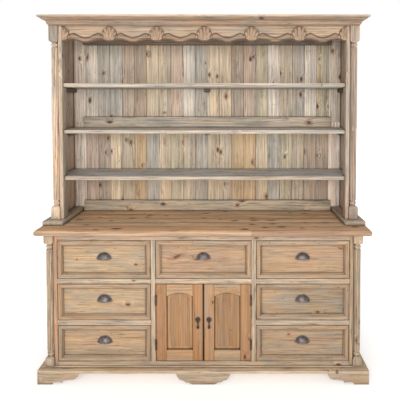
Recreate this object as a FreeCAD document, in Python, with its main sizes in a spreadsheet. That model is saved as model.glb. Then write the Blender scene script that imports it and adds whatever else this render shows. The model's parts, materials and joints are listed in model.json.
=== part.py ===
import FreeCAD, Part
import os
import types

import Sketcher

# Dresser with hutch in reclaimed pine: a chest of drawers with a pair of doors, and a shelved hutch on top.
# The front faces -Y, +X is to the right and +Z up. The origin lies on the floor under the middle of the top.

doc = FreeCAD.newDocument("dresser_with_hutch")
dims = doc.addObject("Spreadsheet::Sheet", "dims")

# Driving sizes in millimetres
SIZES = [
    ("counter_width", 2000, "countertop, side to side"),
    ("counter_depth", 550, "countertop, front to back"),
    ("counter_height", 932, "floor to the countertop's upper face"),
    ("counter_thick", 38, "countertop board"),
    ("counter_overhang", 50, "countertop beyond the front and sides of the base"),
    ("counter_flat", 4, "flat band left on the countertop's rounded edge"),
    ("total_height", 2217, "floor to the top of the cornice"),
    ("hutch_depth", 375, "hutch, post front to back"),
    ("post_width", 70, "corner posts, side to side"),
    ("base_post_depth", 70, "base corner posts, front to back"),
    ("hutch_post_depth", 78, "hutch corner posts, front to back"),
    ("notch_size", 48, "square notch in a post that takes the turned column"),
    ("block_size", 56, "square ends of a turned column"),
    ("base_capital_height", 60, "upper square end of a base column"),
    ("base_block_height", 54, "lower square end of a base column"),
    ("hutch_capital_height", 100, "upper square end of a hutch column"),
    ("hutch_block_height", 84, "lower square end of a hutch column"),
    ("block_chamfer", 10, "sloped shoulder of a square end beside the shaft"),
    ("groove_height", 7, "grooves above and below a turned bead"),
    ("groove_depth", 1.5, "grooves below the core of the shaft"),
    ("bead_height", 19, "turned bead between a square end and the shaft"),
    ("bead_swell", 6, "swell of the bead over its grooves"),
    ("shaft_radius", 17, "core of a column's shaft"),
    ("reed_radius", 4.6, "reeds round a column's shaft"),
    ("side_thick", 22, "side panels"),
    ("plank_thick", 16, "back planks"),
    ("plank_bevel", 2, "bevel along the edges of a back plank"),
    ("back_inset", 1, "back planks in from the back edge of the sides"),
    ("back_rail_gap", 9.5, "rails across the hutch back, short of the flat boards"),
    ("back_rail_height", 72, "rails across the hutch back"),
    ("back_rail_thick", 18, "rails across the hutch back"),
    ("shelf_thick", 22, "hutch shelves"),
    ("shelf_setback", 12, "shelf edge behind the post front"),
    ("upper_bay", 353, "uppermost shelf to the hutch roof"),
    ("cleat_height", 25, "battens under the shelves"),
    ("cleat_width", 20, "battens under the shelves"),
    ("support_width", 36, "block under the middle of a shelf"),
    ("sled_width", 125, "flat board under each hutch side"),
    ("sled_thick", 25, "flat board under each hutch side"),
    ("sled_reach", 60, "flat board in front of the hutch post"),
    ("roof_thick", 18, "board that closes the hutch at the top"),
    ("valance_thick", 20, "carved board under the cornice"),
    ("valance_height", 102, "carved board at its lowest lobes"),
    ("valance_setback", 8, "carved board behind the post front"),
    ("scallop_rise", 18, "height of the scallops above the lobes"),
    ("lobe_width", 76, "lobe in the middle of a bay"),
    ("shell_width", 88, "carved shell"),
    ("shell_margin", 3, "plain board above a carved shell"),
    ("shell_relief", 7, "carved shell in front of the board"),
    ("flute_depth", 3, "grooves of a carved shell"),
    ("flute_width", 5.5, "grooves of a carved shell at their upper ends"),
    ("ribbon_height", 31, "leaf ribbon above the lobe in mid-bay"),
    ("ribbon_peak", 27, "leaf ribbon's rise beside the shells"),
    ("ribbon_relief", 3, "leaf ribbon in front of the board"),
    ("cornice_height", 58, "crown moulding"),
    ("cornice_projection", 60, "crown moulding beyond the hutch posts"),
    ("cornice_foot", 9.6, "crown moulding at its foot, beyond the hutch posts"),
    ("cornice_fillet", 5.8, "flat at the foot of the crown moulding"),
    ("cornice_bead", 8, "bead above that flat"),
    ("cornice_lip", 3.4, "flat above the bead"),
    ("cornice_curve", 3.6, "swell and hollow of the long curve"),
    ("cornice_drip", 12, "ledge under the top edge"),
    ("cornice_fascia", 11.6, "upright top edge of the crown moulding"),
    ("plinth_height", 26, "moulded frame under the base"),
    ("plinth_projection", 42, "moulded frame beyond the base posts"),
    ("plinth_width", 82, "moulded frame boards, flat"),
    ("plinth_edge", 18, "upright edge of the moulded frame"),
    ("plinth_step", 2, "step between that edge and the round above it"),
    ("plinth_swell", 4, "swell of the round"),
    ("plinth_land", 12.6, "top of the moulded frame beyond the base posts"),
    ("foot_height", 66, "floor to the moulded frame"),
    ("foot_length", 248, "corner bracket foot along the front"),
    ("foot_gap", 46, "between the front and the rear bracket foot of a side"),
    ("foot_thick", 28, "bracket foot boards"),
    ("centre_foot_width", 324, "foot in the middle of the front"),
    ("frame_thick", 25, "rails and stiles of the base front"),
    ("top_rail_height", 36, "rail under the countertop"),
    ("rail_height", 30, "rails between the drawers"),
    ("bottom_rail_height", 27, "rail along the foot of the base front"),
    ("mid_stile_width", 28, "stiles between the three banks"),
    ("centre_opening", 578, "middle bank, side to side"),
    ("row_step", 10, "top drawers taller than the others"),
    ("floor_thick", 18, "board under the drawers and cupboard"),
    ("partition_thick", 18, "uprights between the banks"),
    ("front_gap", 3, "gap round drawer fronts and doors"),
    ("drawer_stop", 1, "drawer front to the runners behind it"),
    ("strip_width", 22, "flat of the moulding round a drawer front"),
    ("strip_bevel", 10, "slope of the moulding round a drawer front"),
    ("strip_thick", 10, "moulding in front of the board"),
    ("strip_shoulder", 8.5, "moulding where its slope begins"),
    ("strip_lip", 3, "moulding at its inner edge"),
    ("box_side", 14, "drawer box sides"),
    ("box_back", 12, "drawer box back"),
    ("box_bottom", 8, "drawer box bottom"),
    ("box_rear_gap", 39, "drawer box to the back planks"),
    ("box_gap", 6, "drawer box in from the sides of its opening"),
    ("box_headroom", 22, "drawer box below the top of its opening"),
    ("bearer_height", 22, "runner that a drawer slides on"),
    ("bearer_width", 30, "runner beside a partition"),
    ("slide_gap", 0.4, "running clearance of a drawer"),
    ("cup_half", 41, "half width of a cup pull's dome"),
    ("cup_reach", 21, "cup pull in front of its plate"),
    ("cup_wall", 2.2, "metal of a cup pull"),
    ("cup_plate", 1.8, "back plate of a cup pull"),
    ("cup_ear", 5, "plate beyond the dome"),
    ("door_stile", 63, "door stiles"),
    ("door_bottom_rail", 66, "door bottom rail"),
    ("door_crown", 52, "door top rail over the arch"),
    ("door_arch", 24, "rise of the arch"),
    ("panel_thick", 14, "raised door panel"),
    ("panel_margin", 24, "sloped margin of the raised panel"),
    ("panel_slope", 5, "fall of the sloped margin"),
    ("hinge_length", 65, "butt hinge"),
    ("hinge_inset", 66, "butt hinge from the end of its door"),
    ("knuckle_radius", 3.5, "butt hinge barrel"),
    ("leaf_width", 20, "butt hinge leaves"),
    ("leaf_gap", 0.4, "between the leaves of a closed hinge"),
    ("pin_radius", 1.5, "butt hinge pin"),
    ("turning_gap", 0.3, "clearance round what turns"),
    ("drop_offset", 34, "drop pull from the middle of the cupboard"),
    ("drop_height", 376, "drop pull's pivot above the floor"),
    ("drop_length", 54, "drop pull below its pivot"),
    ("rose_radius", 15, "round plate of a drop pull"),
    ("rose_tail", 22, "point of that plate below its pivot"),
    ("rose_thick", 3, "round plate of a drop pull"),
    ("drop_bulb", 7.5, "bulb of a drop pull"),
    ("drop_neck", 2.2, "neck of a drop pull"),
    ("eye_radius", 3.6, "eye of a drop pull"),
    ("drop_pin", 1.2, "pin through that eye"),
    ("eye_width", 5, "eye of a drop pull"),
    ("lug_thick", 2.2, "lugs that hold a drop pull"),
    ("cupboard_shelf_height", 358, "floor to the cupboard shelf's upper face"),
    ("cupboard_shelf_setback", 70, "cupboard shelf behind the door frame"),
    ("catch_inset", 4.5, "magnetic catch from the edge of its door"),
    ("catch_width", 46, "magnetic catch of a door"),
    ("catch_height", 14, "magnetic catch of a door"),
    ("catch_depth", 16, "magnetic catch of a door"),
    ("strike_height", 12, "plate on a door that meets the catch"),
    ("strike_thick", 2.7, "plate on a door that meets the catch"),
]

REED_COUNT = 12
PLANK_COUNT = 22
BAY_COUNT = 6
SHELF_COUNT = 3
ROW_COUNT = 3
FLUTE_COUNT = 5

# Shares of a carved shell: where its flutes start, where the middle one ends, how much shorter the others
# are, how far the outermost leans, and the height of the shell's widest place
FLUTE_ROOT = 0.16
FLUTE_TOP = 0.8
FLUTE_FALL = 0.045
FLUTE_SPREAD = 0.68
SHELL_WAIST = 0.55
# Where the rose's round ends, as shares of its radius beside and below the pivot
SHOULDER_REACH = 0.8
SHOULDER_FALL = 0.6
# How much wider the neck of a drop is at its bulb
NECK_FLARE = 1.6
# Places that differ by less are the same
SAME_PLACE = 0.001

for row, (alias, number, meaning) in enumerate(SIZES, start=1):
    dims.set("A%d" % row, meaning)
    dims.set("B%d" % row, str(number))
    dims.setAlias("B%d" % row, alias)
doc.recompute()


# Lengths as expressions
class Length:
    """A length held as a sheet expression, so sums and shares of sizes stay bound to the sheet."""

    def __init__(self, text):
        self.text = text

    def __add__(self, other):
        return Length("(%s + %s)" % (self.text, text_of(other)))

    def __sub__(self, other):
        return Length("(%s - %s)" % (self.text, text_of(other)))

    def __mul__(self, other):
        return Length("(%s * %s)" % (self.text, text_of(other)))

    def __truediv__(self, other):
        return Length("(%s / %s)" % (self.text, text_of(other)))

    def __neg__(self):
        return Length("(0 - %s)" % self.text)

    def value(self):
        return float(dims.evalExpression(self.text))


def text_of(length):
    return length.text if isinstance(length, Length) else "(%s)" % length


def value_of(length):
    return length.value() if isinstance(length, Length) else float(length)


def bind(thing, prop, length):
    thing.setExpression(prop, text_of(length))


def place(thing, x, y, z):
    bind(thing, "Placement.Base.x", x)
    bind(thing, "Placement.Base.y", y)
    bind(thing, "Placement.Base.z", z)


size = types.SimpleNamespace(**{alias: Length("dims." + alias) for alias, number, meaning in SIZES})
ZERO = Length("0")
nodes = []


# Building blocks
def board(name, x, y, z):
    """A square-edged board between pairs of low and high coordinates."""
    box = doc.addObject("Part::Box", name)
    bind(box, "Length", x[1] - x[0])
    bind(box, "Width", y[1] - y[0])
    bind(box, "Height", z[1] - z[0])
    place(box, x[0], y[0], z[0])
    return box


def rod(name, axis, radius, start, length):
    """A round rod from its start point along +X, +Y or +Z."""
    cylinder = doc.addObject("Part::Cylinder", name)
    turn = {"X": (FreeCAD.Vector(0, 1, 0), 90), "Y": (FreeCAD.Vector(1, 0, 0), -90),
            "Z": (FreeCAD.Vector(0, 0, 1), 0)}[axis]
    cylinder.Placement = FreeCAD.Placement(FreeCAD.Vector(), FreeCAD.Rotation(*turn))
    bind(cylinder, "Radius", radius)
    bind(cylinder, "Height", length)
    place(cylinder, *start)
    return cylinder


def joined(kind, name, base, tool):
    """The fuse, cut or common of two solids."""
    result = doc.addObject("Part::" + kind, name)
    result.Base = base
    result.Tool = tool
    return result


def node(label, *pieces):
    """One named sub-part: a piece by itself, or several pieces kept as separate solids."""
    part = pieces[0]
    if len(pieces) > 1:
        part = doc.addObject("Part::Compound", label)
        part.Links = list(pieces)
    part.Label = label
    nodes.append(part)
    return part


def mirrored(side, inner, outer):
    """The low and high X of a piece that lies between two distances from the middle."""
    return (inner, outer) if side > 0 else (-outer, -inner)


def signed(side, length):
    return length if side > 0 else -length


def new_body(name, x=ZERO, y=ZERO, z=ZERO):
    body = doc.addObject("PartDesign::Body", name)
    place(body, x, y, z)
    return body


def new_sketch(body, role):
    sketch = body.newObject("Sketcher::SketchObject", body.Name + "_sketch")
    plane = [feature for feature in body.Origin.OriginFeatures if feature.Role == role][0]
    sketch.AttachmentSupport = (plane, "")
    sketch.MapMode = "FlatFace"
    return sketch


def outline(sketch, points):
    """A closed outline. A point's third value bows the edge that arrives there, to the left when positive."""
    first = sketch.GeometryCount
    corners = [FreeCAD.Vector(value_of(point[0]), value_of(point[1]), 0) for point in points]
    starts = []
    for index, corner in enumerate(corners):
        following = (index + 1) % len(points)
        target = corners[following]
        bow = value_of(points[following][2]) if len(points[following]) == 3 else 0
        # An arc always runs anticlockwise, so one that bows to the left starts at its far end.
        starts.append(2 if bow > 0 else 1)
        if bow == 0:
            sketch.addGeometry(Part.LineSegment(corner, target), False)
            continue
        chord = target - corner
        left = FreeCAD.Vector(-chord.y, chord.x, 0).normalize()
        middle = (corner + target) * 0.5 + left * bow
        ends = (target, corner) if bow > 0 else (corner, target)
        sketch.addGeometry(Part.Arc(ends[0], middle, ends[1]), False)
    for index, start in enumerate(starts):
        following = (index + 1) % len(points)
        sketch.addConstraint(Sketcher.Constraint(
            "Coincident", first + index, 3 - start, first + following, starts[following]))
    for index, point in enumerate(points):
        for kind, length in (("DistanceX", point[0]), ("DistanceY", point[1])):
            number = sketch.addConstraint(Sketcher.Constraint(
                kind, -1, 1, first + index, starts[index], value_of(length)))
            sketch.setExpression("Constraints[%d]" % number, text_of(length))
        arriving = (index - 1) % len(points)
        if len(point) == 3:
            radius = bow_radius(points[arriving], point)
            number = sketch.addConstraint(Sketcher.Constraint("Radius", first + arriving, radius.value()))
            sketch.setExpression("Constraints[%d]" % number, radius.text)


def bow_radius(start, end):
    """Radius of the arc between two points that rises by the end point's third value over its chord."""
    bow = "abs(%s)" % text_of(end[2])
    run = "(%s - %s)" % (text_of(end[0]), text_of(start[0]))
    climb = "(%s - %s)" % (text_of(end[1]), text_of(start[1]))
    return Length("((%s^2 + %s^2) / (8 * %s) + %s / 2)" % (run, climb, bow, bow))


def circle(sketch, x, y, radius):
    number = sketch.addGeometry(Part.Circle(
        FreeCAD.Vector(value_of(x), value_of(y), 0), FreeCAD.Vector(0, 0, 1), value_of(radius)), False)
    for kind, length in (("DistanceX", x), ("DistanceY", y)):
        constraint = sketch.addConstraint(Sketcher.Constraint(kind, -1, 1, number, 3, value_of(length)))
        sketch.setExpression("Constraints[%d]" % constraint, text_of(length))
    constraint = sketch.addConstraint(Sketcher.Constraint("Radius", number, value_of(radius)))
    sketch.setExpression("Constraints[%d]" % constraint, text_of(radius))


def pad(body, role, points, length):
    """Material raised from a closed outline."""
    sketch = new_sketch(body, role)
    outline(sketch, points)
    feature = body.newObject("PartDesign::Pad", body.Name + "_pad")
    feature.Profile = sketch
    bind(feature, "Length", length)
    return feature


def pocket(body, role, outlines, length):
    """Material cut away on both sides of a sketch plane."""
    sketch = new_sketch(body, role)
    for points in outlines:
        outline(sketch, points)
    feature = body.newObject("PartDesign::Pocket", body.Name + "_pocket")
    feature.Profile = sketch
    feature.Midplane = True
    bind(feature, "Length", length)
    return feature


def row_of(body, features, sketch, axis, reach, count):
    """Copies of features in a row along a sketch axis."""
    pattern = body.newObject("PartDesign::LinearPattern", body.Name + "_row")
    pattern.Originals = features
    pattern.Direction = (sketch, [axis])
    bind(pattern, "Length", reach)
    pattern.Occurrences = count
    body.Tip = pattern
    return pattern


def rectangle(x, y):
    return [(x[0], y[0]), (x[1], y[0]), (x[1], y[1]), (x[0], y[1])]


# Shared lines
half_depth = size.counter_depth / 2
body_half = size.counter_width / 2 - size.counter_overhang
post_inner = body_half - size.post_width
side_inner = body_half - size.side_thick
back_face = half_depth
plank_back = back_face - size.back_inset
plank_front = plank_back - size.plank_thick
base_front = size.counter_overhang - half_depth
hutch_front = half_depth - size.hutch_depth
counter_top = size.counter_height
counter_under = size.counter_height - size.counter_thick
plinth_low = size.foot_height
plinth_top = size.foot_height + size.plinth_height
floor_top = plinth_top + size.floor_thick
sled_inner = post_inner + size.post_width / 2 + size.block_size / 4 - size.sled_width / 2
sled_top = counter_top + size.sled_thick
roof_low = size.total_height - size.cornice_height
roof_top = roof_low + size.roof_thick
plinth_half = body_half + size.plinth_projection
plinth_front = base_front - size.plinth_projection
frame_back = base_front + size.frame_thick
centre_half = size.centre_opening / 2
stile_outer = centre_half + size.mid_stile_width
stile_middle = centre_half + size.mid_stile_width / 2
partition_inner = stile_middle - size.partition_thick / 2
partition_outer = stile_middle + size.partition_thick / 2
ring_height = size.groove_height * 2 + size.bead_height


# Countertop: one glued-up board with a rounded nose on the front and both ends
def make_countertop():
    body = new_body("countertop", z=counter_under)
    half = size.counter_width / 2
    slab = pad(body, "XY_Plane", rectangle((-half, half), (-half_depth, half_depth)), size.counter_thick)
    doc.recompute()
    edges = []
    for number, edge in enumerate(slab.Shape.Edges, start=1):
        middle = edge.CenterOfMass
        level = abs(edge.BoundBox.ZLength) < SAME_PLACE
        if level and middle.y < half_depth.value() - SAME_PLACE:
            edges.append("Edge%d" % number)
    nose = body.newObject("PartDesign::Fillet", "countertop_nose")
    nose.Base = (slab, edges)
    bind(nose, "Radius", (size.counter_thick - size.counter_flat) / 2)
    node("countertop", body)


# Corner posts: square posts with a notch up the outer front corner
def make_posts(label, front, depth, low, high):
    posts = []
    for side, hand in ((-1, "left"), (1, "right")):
        body = new_body(label + "_" + hand, z=low)
        notch_inner = body_half - size.notch_size
        notch_back = front + size.notch_size
        corners = [
            (post_inner, front), (notch_inner, front), (notch_inner, notch_back),
            (body_half, notch_back), (body_half, front + depth), (post_inner, front + depth)]
        pad(body, "XY_Plane", [(signed(side, x), y) for x, y in corners], high - low)
        posts.append(body)
    node(label, *posts)


# Turned columns: square ends with sloped shoulders, a bead beside each, and a reeded shaft between
def ring_profile(low, direction):
    """Half outline of a groove, a bead and a groove, from a square end towards the shaft."""
    radius = size.shaft_radius - size.groove_depth
    bead_high = size.groove_height + size.bead_height
    return [
        (radius, low),
        (radius, low + size.groove_height * direction),
        (radius, low + bead_high * direction, -size.bead_swell),
        (size.shaft_radius, low + ring_height * direction)]


def shoulder(body, feature, level):
    """Slopes off the four edges of a square end where it meets the shaft."""
    doc.recompute()
    edges = []
    for number, edge in enumerate(feature.Shape.Edges, start=1):
        box = edge.BoundBox
        if box.ZLength < SAME_PLACE and abs(box.ZMin - level.value()) < SAME_PLACE:
            edges.append("Edge%d" % number)
    slope = body.newObject("PartDesign::Chamfer", body.Name + "_shoulder")
    slope.Base = (feature, edges)
    bind(slope, "Size", size.block_chamfer)


def make_columns(label, front, low, high, block_height, capital_height):
    columns = []
    inset = size.notch_size - size.block_size / 2
    block_half = size.block_size / 2
    square = rectangle((-block_half, block_half), (-block_half, block_half))
    for side, hand in ((-1, "left"), (1, "right")):
        body = new_body(label + "_" + hand, signed(side, body_half - inset), front + inset, low)
        block = pad(body, "XY_Plane", square, block_height)
        shoulder(body, block, block_height)
        capital = pad(body, "XY_Plane", square, capital_height)
        capital_low = high - low - capital_height
        bind(capital.Profile[0], "AttachmentOffset.Base.z", capital_low)
        shoulder(body, capital, capital_low)
        turning = new_sketch(body, "XZ_Plane")
        upper_ring = ring_profile(capital_low, -1)
        lower_ring = ring_profile(block_height, 1)
        # The upper ring is walked from the shaft outwards, so its swell belongs to the next point.
        upper_walk = [
            upper_ring[3], upper_ring[2][:2],
            (upper_ring[1][0], upper_ring[1][1], -size.bead_swell), upper_ring[0]]
        outline(turning, [(ZERO, block_height)] + lower_ring + upper_walk + [(ZERO, capital_low)])
        turned = body.newObject("PartDesign::Revolution", body.Name + "_turning")
        turned.Profile = turning
        turned.ReferenceAxis = (turning, ["V_Axis"])
        turned.Angle = 360
        reed_sketch = new_sketch(body, "XY_Plane")
        reed_low = block_height + ring_height
        bind(reed_sketch, "AttachmentOffset.Base.z", reed_low)
        circle(reed_sketch, size.shaft_radius, ZERO, size.reed_radius)
        reed = body.newObject("PartDesign::Pad", body.Name + "_reed")
        reed.Profile = reed_sketch
        bind(reed, "Length", capital_low - ring_height - reed_low)
        reeds = body.newObject("PartDesign::PolarPattern", body.Name + "_reeds")
        reeds.Originals = [reed]
        reeds.Axis = (reed_sketch, ["N_Axis"])
        reeds.Angle = 360
        reeds.Occurrences = REED_COUNT
        body.Tip = reeds
        columns.append(body)
    node(label, *columns)


def notched_board(name, front, post_back, low, thick):
    """A level board between the sides, cut back at both front corners to pass between the posts."""
    body = new_body(name, z=low)
    pad(body, "XY_Plane", [
        (-post_inner, front), (post_inner, front), (post_inner, post_back), (side_inner, post_back),
        (side_inner, plank_front), (-side_inner, plank_front), (-side_inner, post_back),
        (-post_inner, post_back)], thick)
    return body


# Planked backs: upright boards with bevelled edges
def make_back(label, *levels):
    """Boards side by side, in one length between each pair of levels."""
    planks = []
    width = side_inner * 2 / PLANK_COUNT
    bevel = size.plank_bevel
    for low, high in zip(levels, levels[1:]):
        for number in range(PLANK_COUNT):
            body = new_body("%s_%d" % (label, len(planks) + 1), width * number - side_inner, plank_front, low)
            pad(body, "XY_Plane", [
                (bevel, ZERO), (width - bevel, ZERO), (width, bevel),
                (width, size.plank_thick), (ZERO, size.plank_thick), (ZERO, bevel)], high - low)
            planks.append(body)
    node(label, *planks)


# Hutch
def make_hutch_frame():
    make_posts("hutch_posts", hutch_front, size.hutch_post_depth, sled_top, roof_low)
    make_columns("hutch_columns", hutch_front, sled_top, roof_low,
                 size.hutch_block_height, size.hutch_capital_height)
    post_back = hutch_front + size.hutch_post_depth
    sides = []
    sleds = []
    for side, hand in ((-1, "left"), (1, "right")):
        sides.append(board("hutch_side_" + hand, mirrored(side, side_inner, body_half),
                           (post_back, back_face), (sled_top, roof_low)))
        sleds.append(board("hutch_sled_" + hand, mirrored(side, sled_inner, sled_inner + size.sled_width),
                           (hutch_front - size.sled_reach, plank_front), (counter_top, sled_top)))
    node("hutch_sides", *sides)
    node("hutch_sleds", *sleds)
    node("hutch_roof", board("hutch_roof", (-body_half, body_half), (hutch_front, back_face),
                             (roof_low, roof_top)))


def make_hutch_back():
    # The hutch's boards are in two lengths, which meet behind the middle rail.
    make_back("hutch_back_planks", counter_top, shelf_top(1) + size.back_rail_height / 2, roof_low)
    half = sled_inner - size.back_rail_gap
    depth = (plank_front - size.back_rail_thick, plank_front)
    lows = {"low": counter_top, "middle": shelf_top(1), "high": roof_low - size.back_rail_height}
    rails = []
    for name, low in lows.items():
        rails.append(board("back_rail_" + name, (-half, half), depth, (low, low + size.back_rail_height)))
    node("hutch_back_rails", *rails)


def shelf_top(number):
    pitch = (roof_low - size.upper_bay - counter_top) / SHELF_COUNT
    return counter_top + pitch * (number + 1)


def make_shelves():
    front = hutch_front + size.shelf_setback
    post_back = hutch_front + size.hutch_post_depth
    supports = []
    for number, name in enumerate(("shelf_lower", "shelf_middle", "shelf_upper")):
        under = shelf_top(number) - size.shelf_thick
        node(name, notched_board(name, front, post_back, under, size.shelf_thick))
        height = (under - size.cleat_height, under)
        for side, hand in ((-1, "left"), (1, "right")):
            supports.append(board("cleat_%s_%s" % (name, hand),
                                  mirrored(side, side_inner - size.cleat_width, side_inner),
                                  (post_back, plank_front), height))
        supports.append(board("support_" + name, (-size.support_width / 2, size.support_width / 2),
                              (plank_front - size.cleat_width, plank_front), height))
    node("shelf_supports", *supports)


# Valance: a board with a scalloped edge, a fan shell between the bays and a leaf ribbon along the edge
def make_valance():
    body = new_body("valance", y=hutch_front + size.valance_setback + size.valance_thick,
                    z=roof_low - size.valance_height)
    bay = post_inner * 2 / BAY_COUNT
    half_bay = bay / 2
    lobe = size.lobe_width / 2
    shell = size.shell_width / 2
    face = rectangle((-post_inner, post_inner), (ZERO, size.valance_height))
    pad(body, "XZ_Plane", face, size.valance_thick)
    first_bay = -post_inner + half_bay
    relief = size.valance_thick + size.ribbon_relief
    dip = size.ribbon_height
    peak = size.ribbon_height + size.ribbon_peak
    curl = (lobe + half_bay - shell) / 2
    ribbon = pad(body, "XZ_Plane", [
        (first_bay - half_bay, ZERO), (first_bay + half_bay, ZERO), (first_bay + half_bay, dip),
        (first_bay + half_bay - shell, peak - size.ribbon_peak / 2),
        (first_bay + curl, peak, -dip / 8),
        (first_bay, dip, dip / 8), (first_bay - curl, peak, dip / 8),
        (first_bay - half_bay + shell, peak - size.ribbon_peak / 2, -dip / 8),
        (first_bay - half_bay, dip)], relief)
    row_of(body, [ribbon], ribbon.Profile[0], "H_Axis", post_inner * 2 - bay, BAY_COUNT)
    shell_low = size.scallop_rise / 2
    shell_high = size.valance_height - size.shell_margin
    shell_height = shell_high - shell_low
    waist = shell_low + shell_height * SHELL_WAIST
    foot_half = shell / 3
    shell_pad = pad(body, "XZ_Plane", [
        (-post_inner - foot_half, ZERO, -shell / 8), (-post_inner + foot_half, ZERO),
        (-post_inner + shell, waist, -shell / 8),
        (-post_inner + shell / 2, shell_high - shell / 4, -shell / 8),
        (-post_inner - shell / 2, shell_high - shell / 4, -shell / 4),
        (-post_inner - shell, waist, -shell / 8)],
        size.valance_thick + size.shell_relief)
    # The flutes spread from the shell's foot; each is a narrow wedge, and the outer ones are shorter
    flutes = []
    flute_face = size.valance_thick + size.shell_relief
    flute_half = size.flute_width / 2
    middle_flute = (FLUTE_COUNT - 1) // 2
    for step in range(-middle_flute, middle_flute + 1):
        root_x = foot_half * step / FLUTE_COUNT - post_inner
        tip_x = shell * FLUTE_SPREAD * step / middle_flute - post_inner
        tip_z = shell_low + shell_height * (FLUTE_TOP - FLUTE_FALL * step * step)
        flutes.append([
            (root_x, shell_low + shell_height * FLUTE_ROOT), (tip_x + flute_half, tip_z),
            (tip_x - flute_half, tip_z)])
    flute_cut = pocket(body, "XZ_Plane", flutes, size.flute_depth * 2)
    bind(flute_cut.Profile[0], "AttachmentOffset.Base.z", flute_face)
    row_of(body, [shell_pad, flute_cut], ribbon.Profile[0], "H_Axis", post_inner * 2, BAY_COUNT + 1)
    # The scallops: a lobe in mid-bay, a hollow on each side of it, and a small lobe under each shell
    rise = size.scallop_rise
    low_line = -rise
    scallop = pocket(body, "XZ_Plane", [[
        (first_bay - half_bay, low_line), (first_bay + half_bay, low_line),
        (first_bay + half_bay, rise / 2),
        (first_bay + half_bay - foot_half, rise * 0.6),
        (first_bay + lobe, rise * 0.5, -rise * 0.45),
        (first_bay - lobe, rise * 0.5, rise * 0.5),
        (first_bay - half_bay + foot_half, rise * 0.6, -rise * 0.45),
        (first_bay - half_bay, rise / 2)]], (size.valance_thick + size.shell_relief) * 4)
    row_of(body, [scallop], scallop.Profile[0], "H_Axis", post_inner * 2 - bay, BAY_COUNT)
    # The end shells are halved against the posts
    past = post_inner + size.shell_width
    span = (-size.valance_height, size.valance_height * 2)
    pocket(body, "XZ_Plane", [rectangle((post_inner, past), span), rectangle((-past, -post_inner), span)],
           (size.valance_thick + size.shell_relief) * 4)
    node("valance", body)


# Mouldings: three lengths that meet in mitres at the front corners
def build_moulding(label, profile, inner_half, inner_front, projection, depth_in, low):
    """A moulding round the front and sides. The profile runs outwards from the body line."""
    outer_half = inner_half + projection
    outer_front = inner_front - projection
    through = size.total_height
    far = projection + depth_in
    pieces = []
    front = new_body(label + "_front", -outer_half, inner_front, low)
    pad(front, "YZ_Plane", [(-out, *rest) for out, *rest in reversed_bows(profile)], outer_half * 2)
    ends = []
    for side in (-1, 1):
        tip = outer_half + signed(side, outer_half)
        ends.append([
            (tip, -projection), (tip, depth_in),
            (tip - signed(side, far), depth_in)])
    pocket(front, "XY_Plane", ends, through)
    pieces.append(front)
    for side, hand in ((-1, "left"), (1, "right")):
        length = back_face - outer_front
        body = new_body(label + "_" + hand, signed(side, inner_half), back_face, low)
        points = profile if side > 0 else [(-out, *rest) for out, *rest in reversed_bows(profile)]
        pad(body, "XZ_Plane", points, length)
        tip = outer_front - back_face
        pocket(body, "XY_Plane", [[
            (signed(side, projection), tip), (signed(side, -depth_in), tip),
            (signed(side, -depth_in), tip + far)]], through)
        pieces.append(body)
    return pieces


def reversed_bows(profile):
    """The same outline with its bows on the other hand, for a mirrored copy."""
    return [point if len(point) == 2 else (point[0], point[1], -point[2]) for point in profile]


def make_cornice():
    out = size.cornice_projection
    high = size.cornice_height
    bead_out = size.cornice_foot + size.cornice_bead
    bead_top = size.cornice_fillet + size.cornice_bead
    curve_low = bead_top + size.cornice_lip
    ledge_out = out - size.cornice_drip
    ledge = high - size.cornice_fascia
    # From the foot upwards: a flat, a bead, a long curve that is hollow and then round, and the top edge
    profile = [
        (ZERO, ZERO), (size.cornice_foot, ZERO), (size.cornice_foot, size.cornice_fillet),
        (bead_out, bead_top, -size.cornice_bead / 4), (bead_out, curve_low),
        ((bead_out + ledge_out) / 2, (curve_low + ledge) / 2, size.cornice_curve),
        (ledge_out, ledge, -size.cornice_curve),
        (out, ledge), (out, high), (ZERO, high)]
    node("cornice", *build_moulding("cornice", profile, body_half, hutch_front, out, ZERO, roof_low))


# Base
def make_base_frame():
    make_posts("base_posts", base_front, size.base_post_depth, plinth_top, counter_under)
    make_columns("base_columns", base_front, plinth_top, counter_under,
                 size.base_block_height, size.base_capital_height)
    post_back = base_front + size.base_post_depth
    sides = []
    partitions = []
    for side, hand in ((-1, "left"), (1, "right")):
        sides.append(board("base_side_" + hand, mirrored(side, side_inner, body_half),
                           (post_back, back_face), (plinth_top, counter_under)))
        partitions.append(board("partition_" + hand, mirrored(side, partition_inner, partition_outer),
                                (frame_back, plank_front), (floor_top, counter_under)))
    node("base_sides", *sides)
    node("partitions", *partitions)
    node("base_floor", notched_board("base_floor", frame_back, post_back, plinth_top, size.floor_thick))
    make_back("base_back_planks", plinth_top, counter_under)


openings_top = counter_under - size.top_rail_height
openings_low = plinth_top + size.bottom_rail_height
rows_height = openings_top - openings_low - size.rail_height * (ROW_COUNT - 1)
row_height = (rows_height - size.row_step) / ROW_COUNT
row_one_low = openings_top - row_height - size.row_step
row_two_top = row_one_low - size.rail_height
row_two_low = row_two_top - row_height
row_three_top = row_two_low - size.rail_height


def make_face_frame():
    depth = (base_front, frame_back)
    rails = [board("top_rail", (-post_inner, post_inner), depth, (openings_top, counter_under)),
             board("centre_rail", (-centre_half, centre_half), depth, (row_two_top, row_one_low)),
             board("bottom_rail", (-post_inner, post_inner), depth, (plinth_top, openings_low))]
    for side, hand in ((-1, "left"), (1, "right")):
        across = mirrored(side, stile_outer, post_inner)
        rails.append(board("mid_stile_" + hand, mirrored(side, centre_half, stile_outer), depth,
                           (openings_low, openings_top)))
        rails.append(board("upper_rail_" + hand, across, depth, (row_two_top, row_one_low)))
        rails.append(board("lower_rail_" + hand, across, depth, (row_three_top, row_two_low)))
    node("face_frame", *rails)


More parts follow.
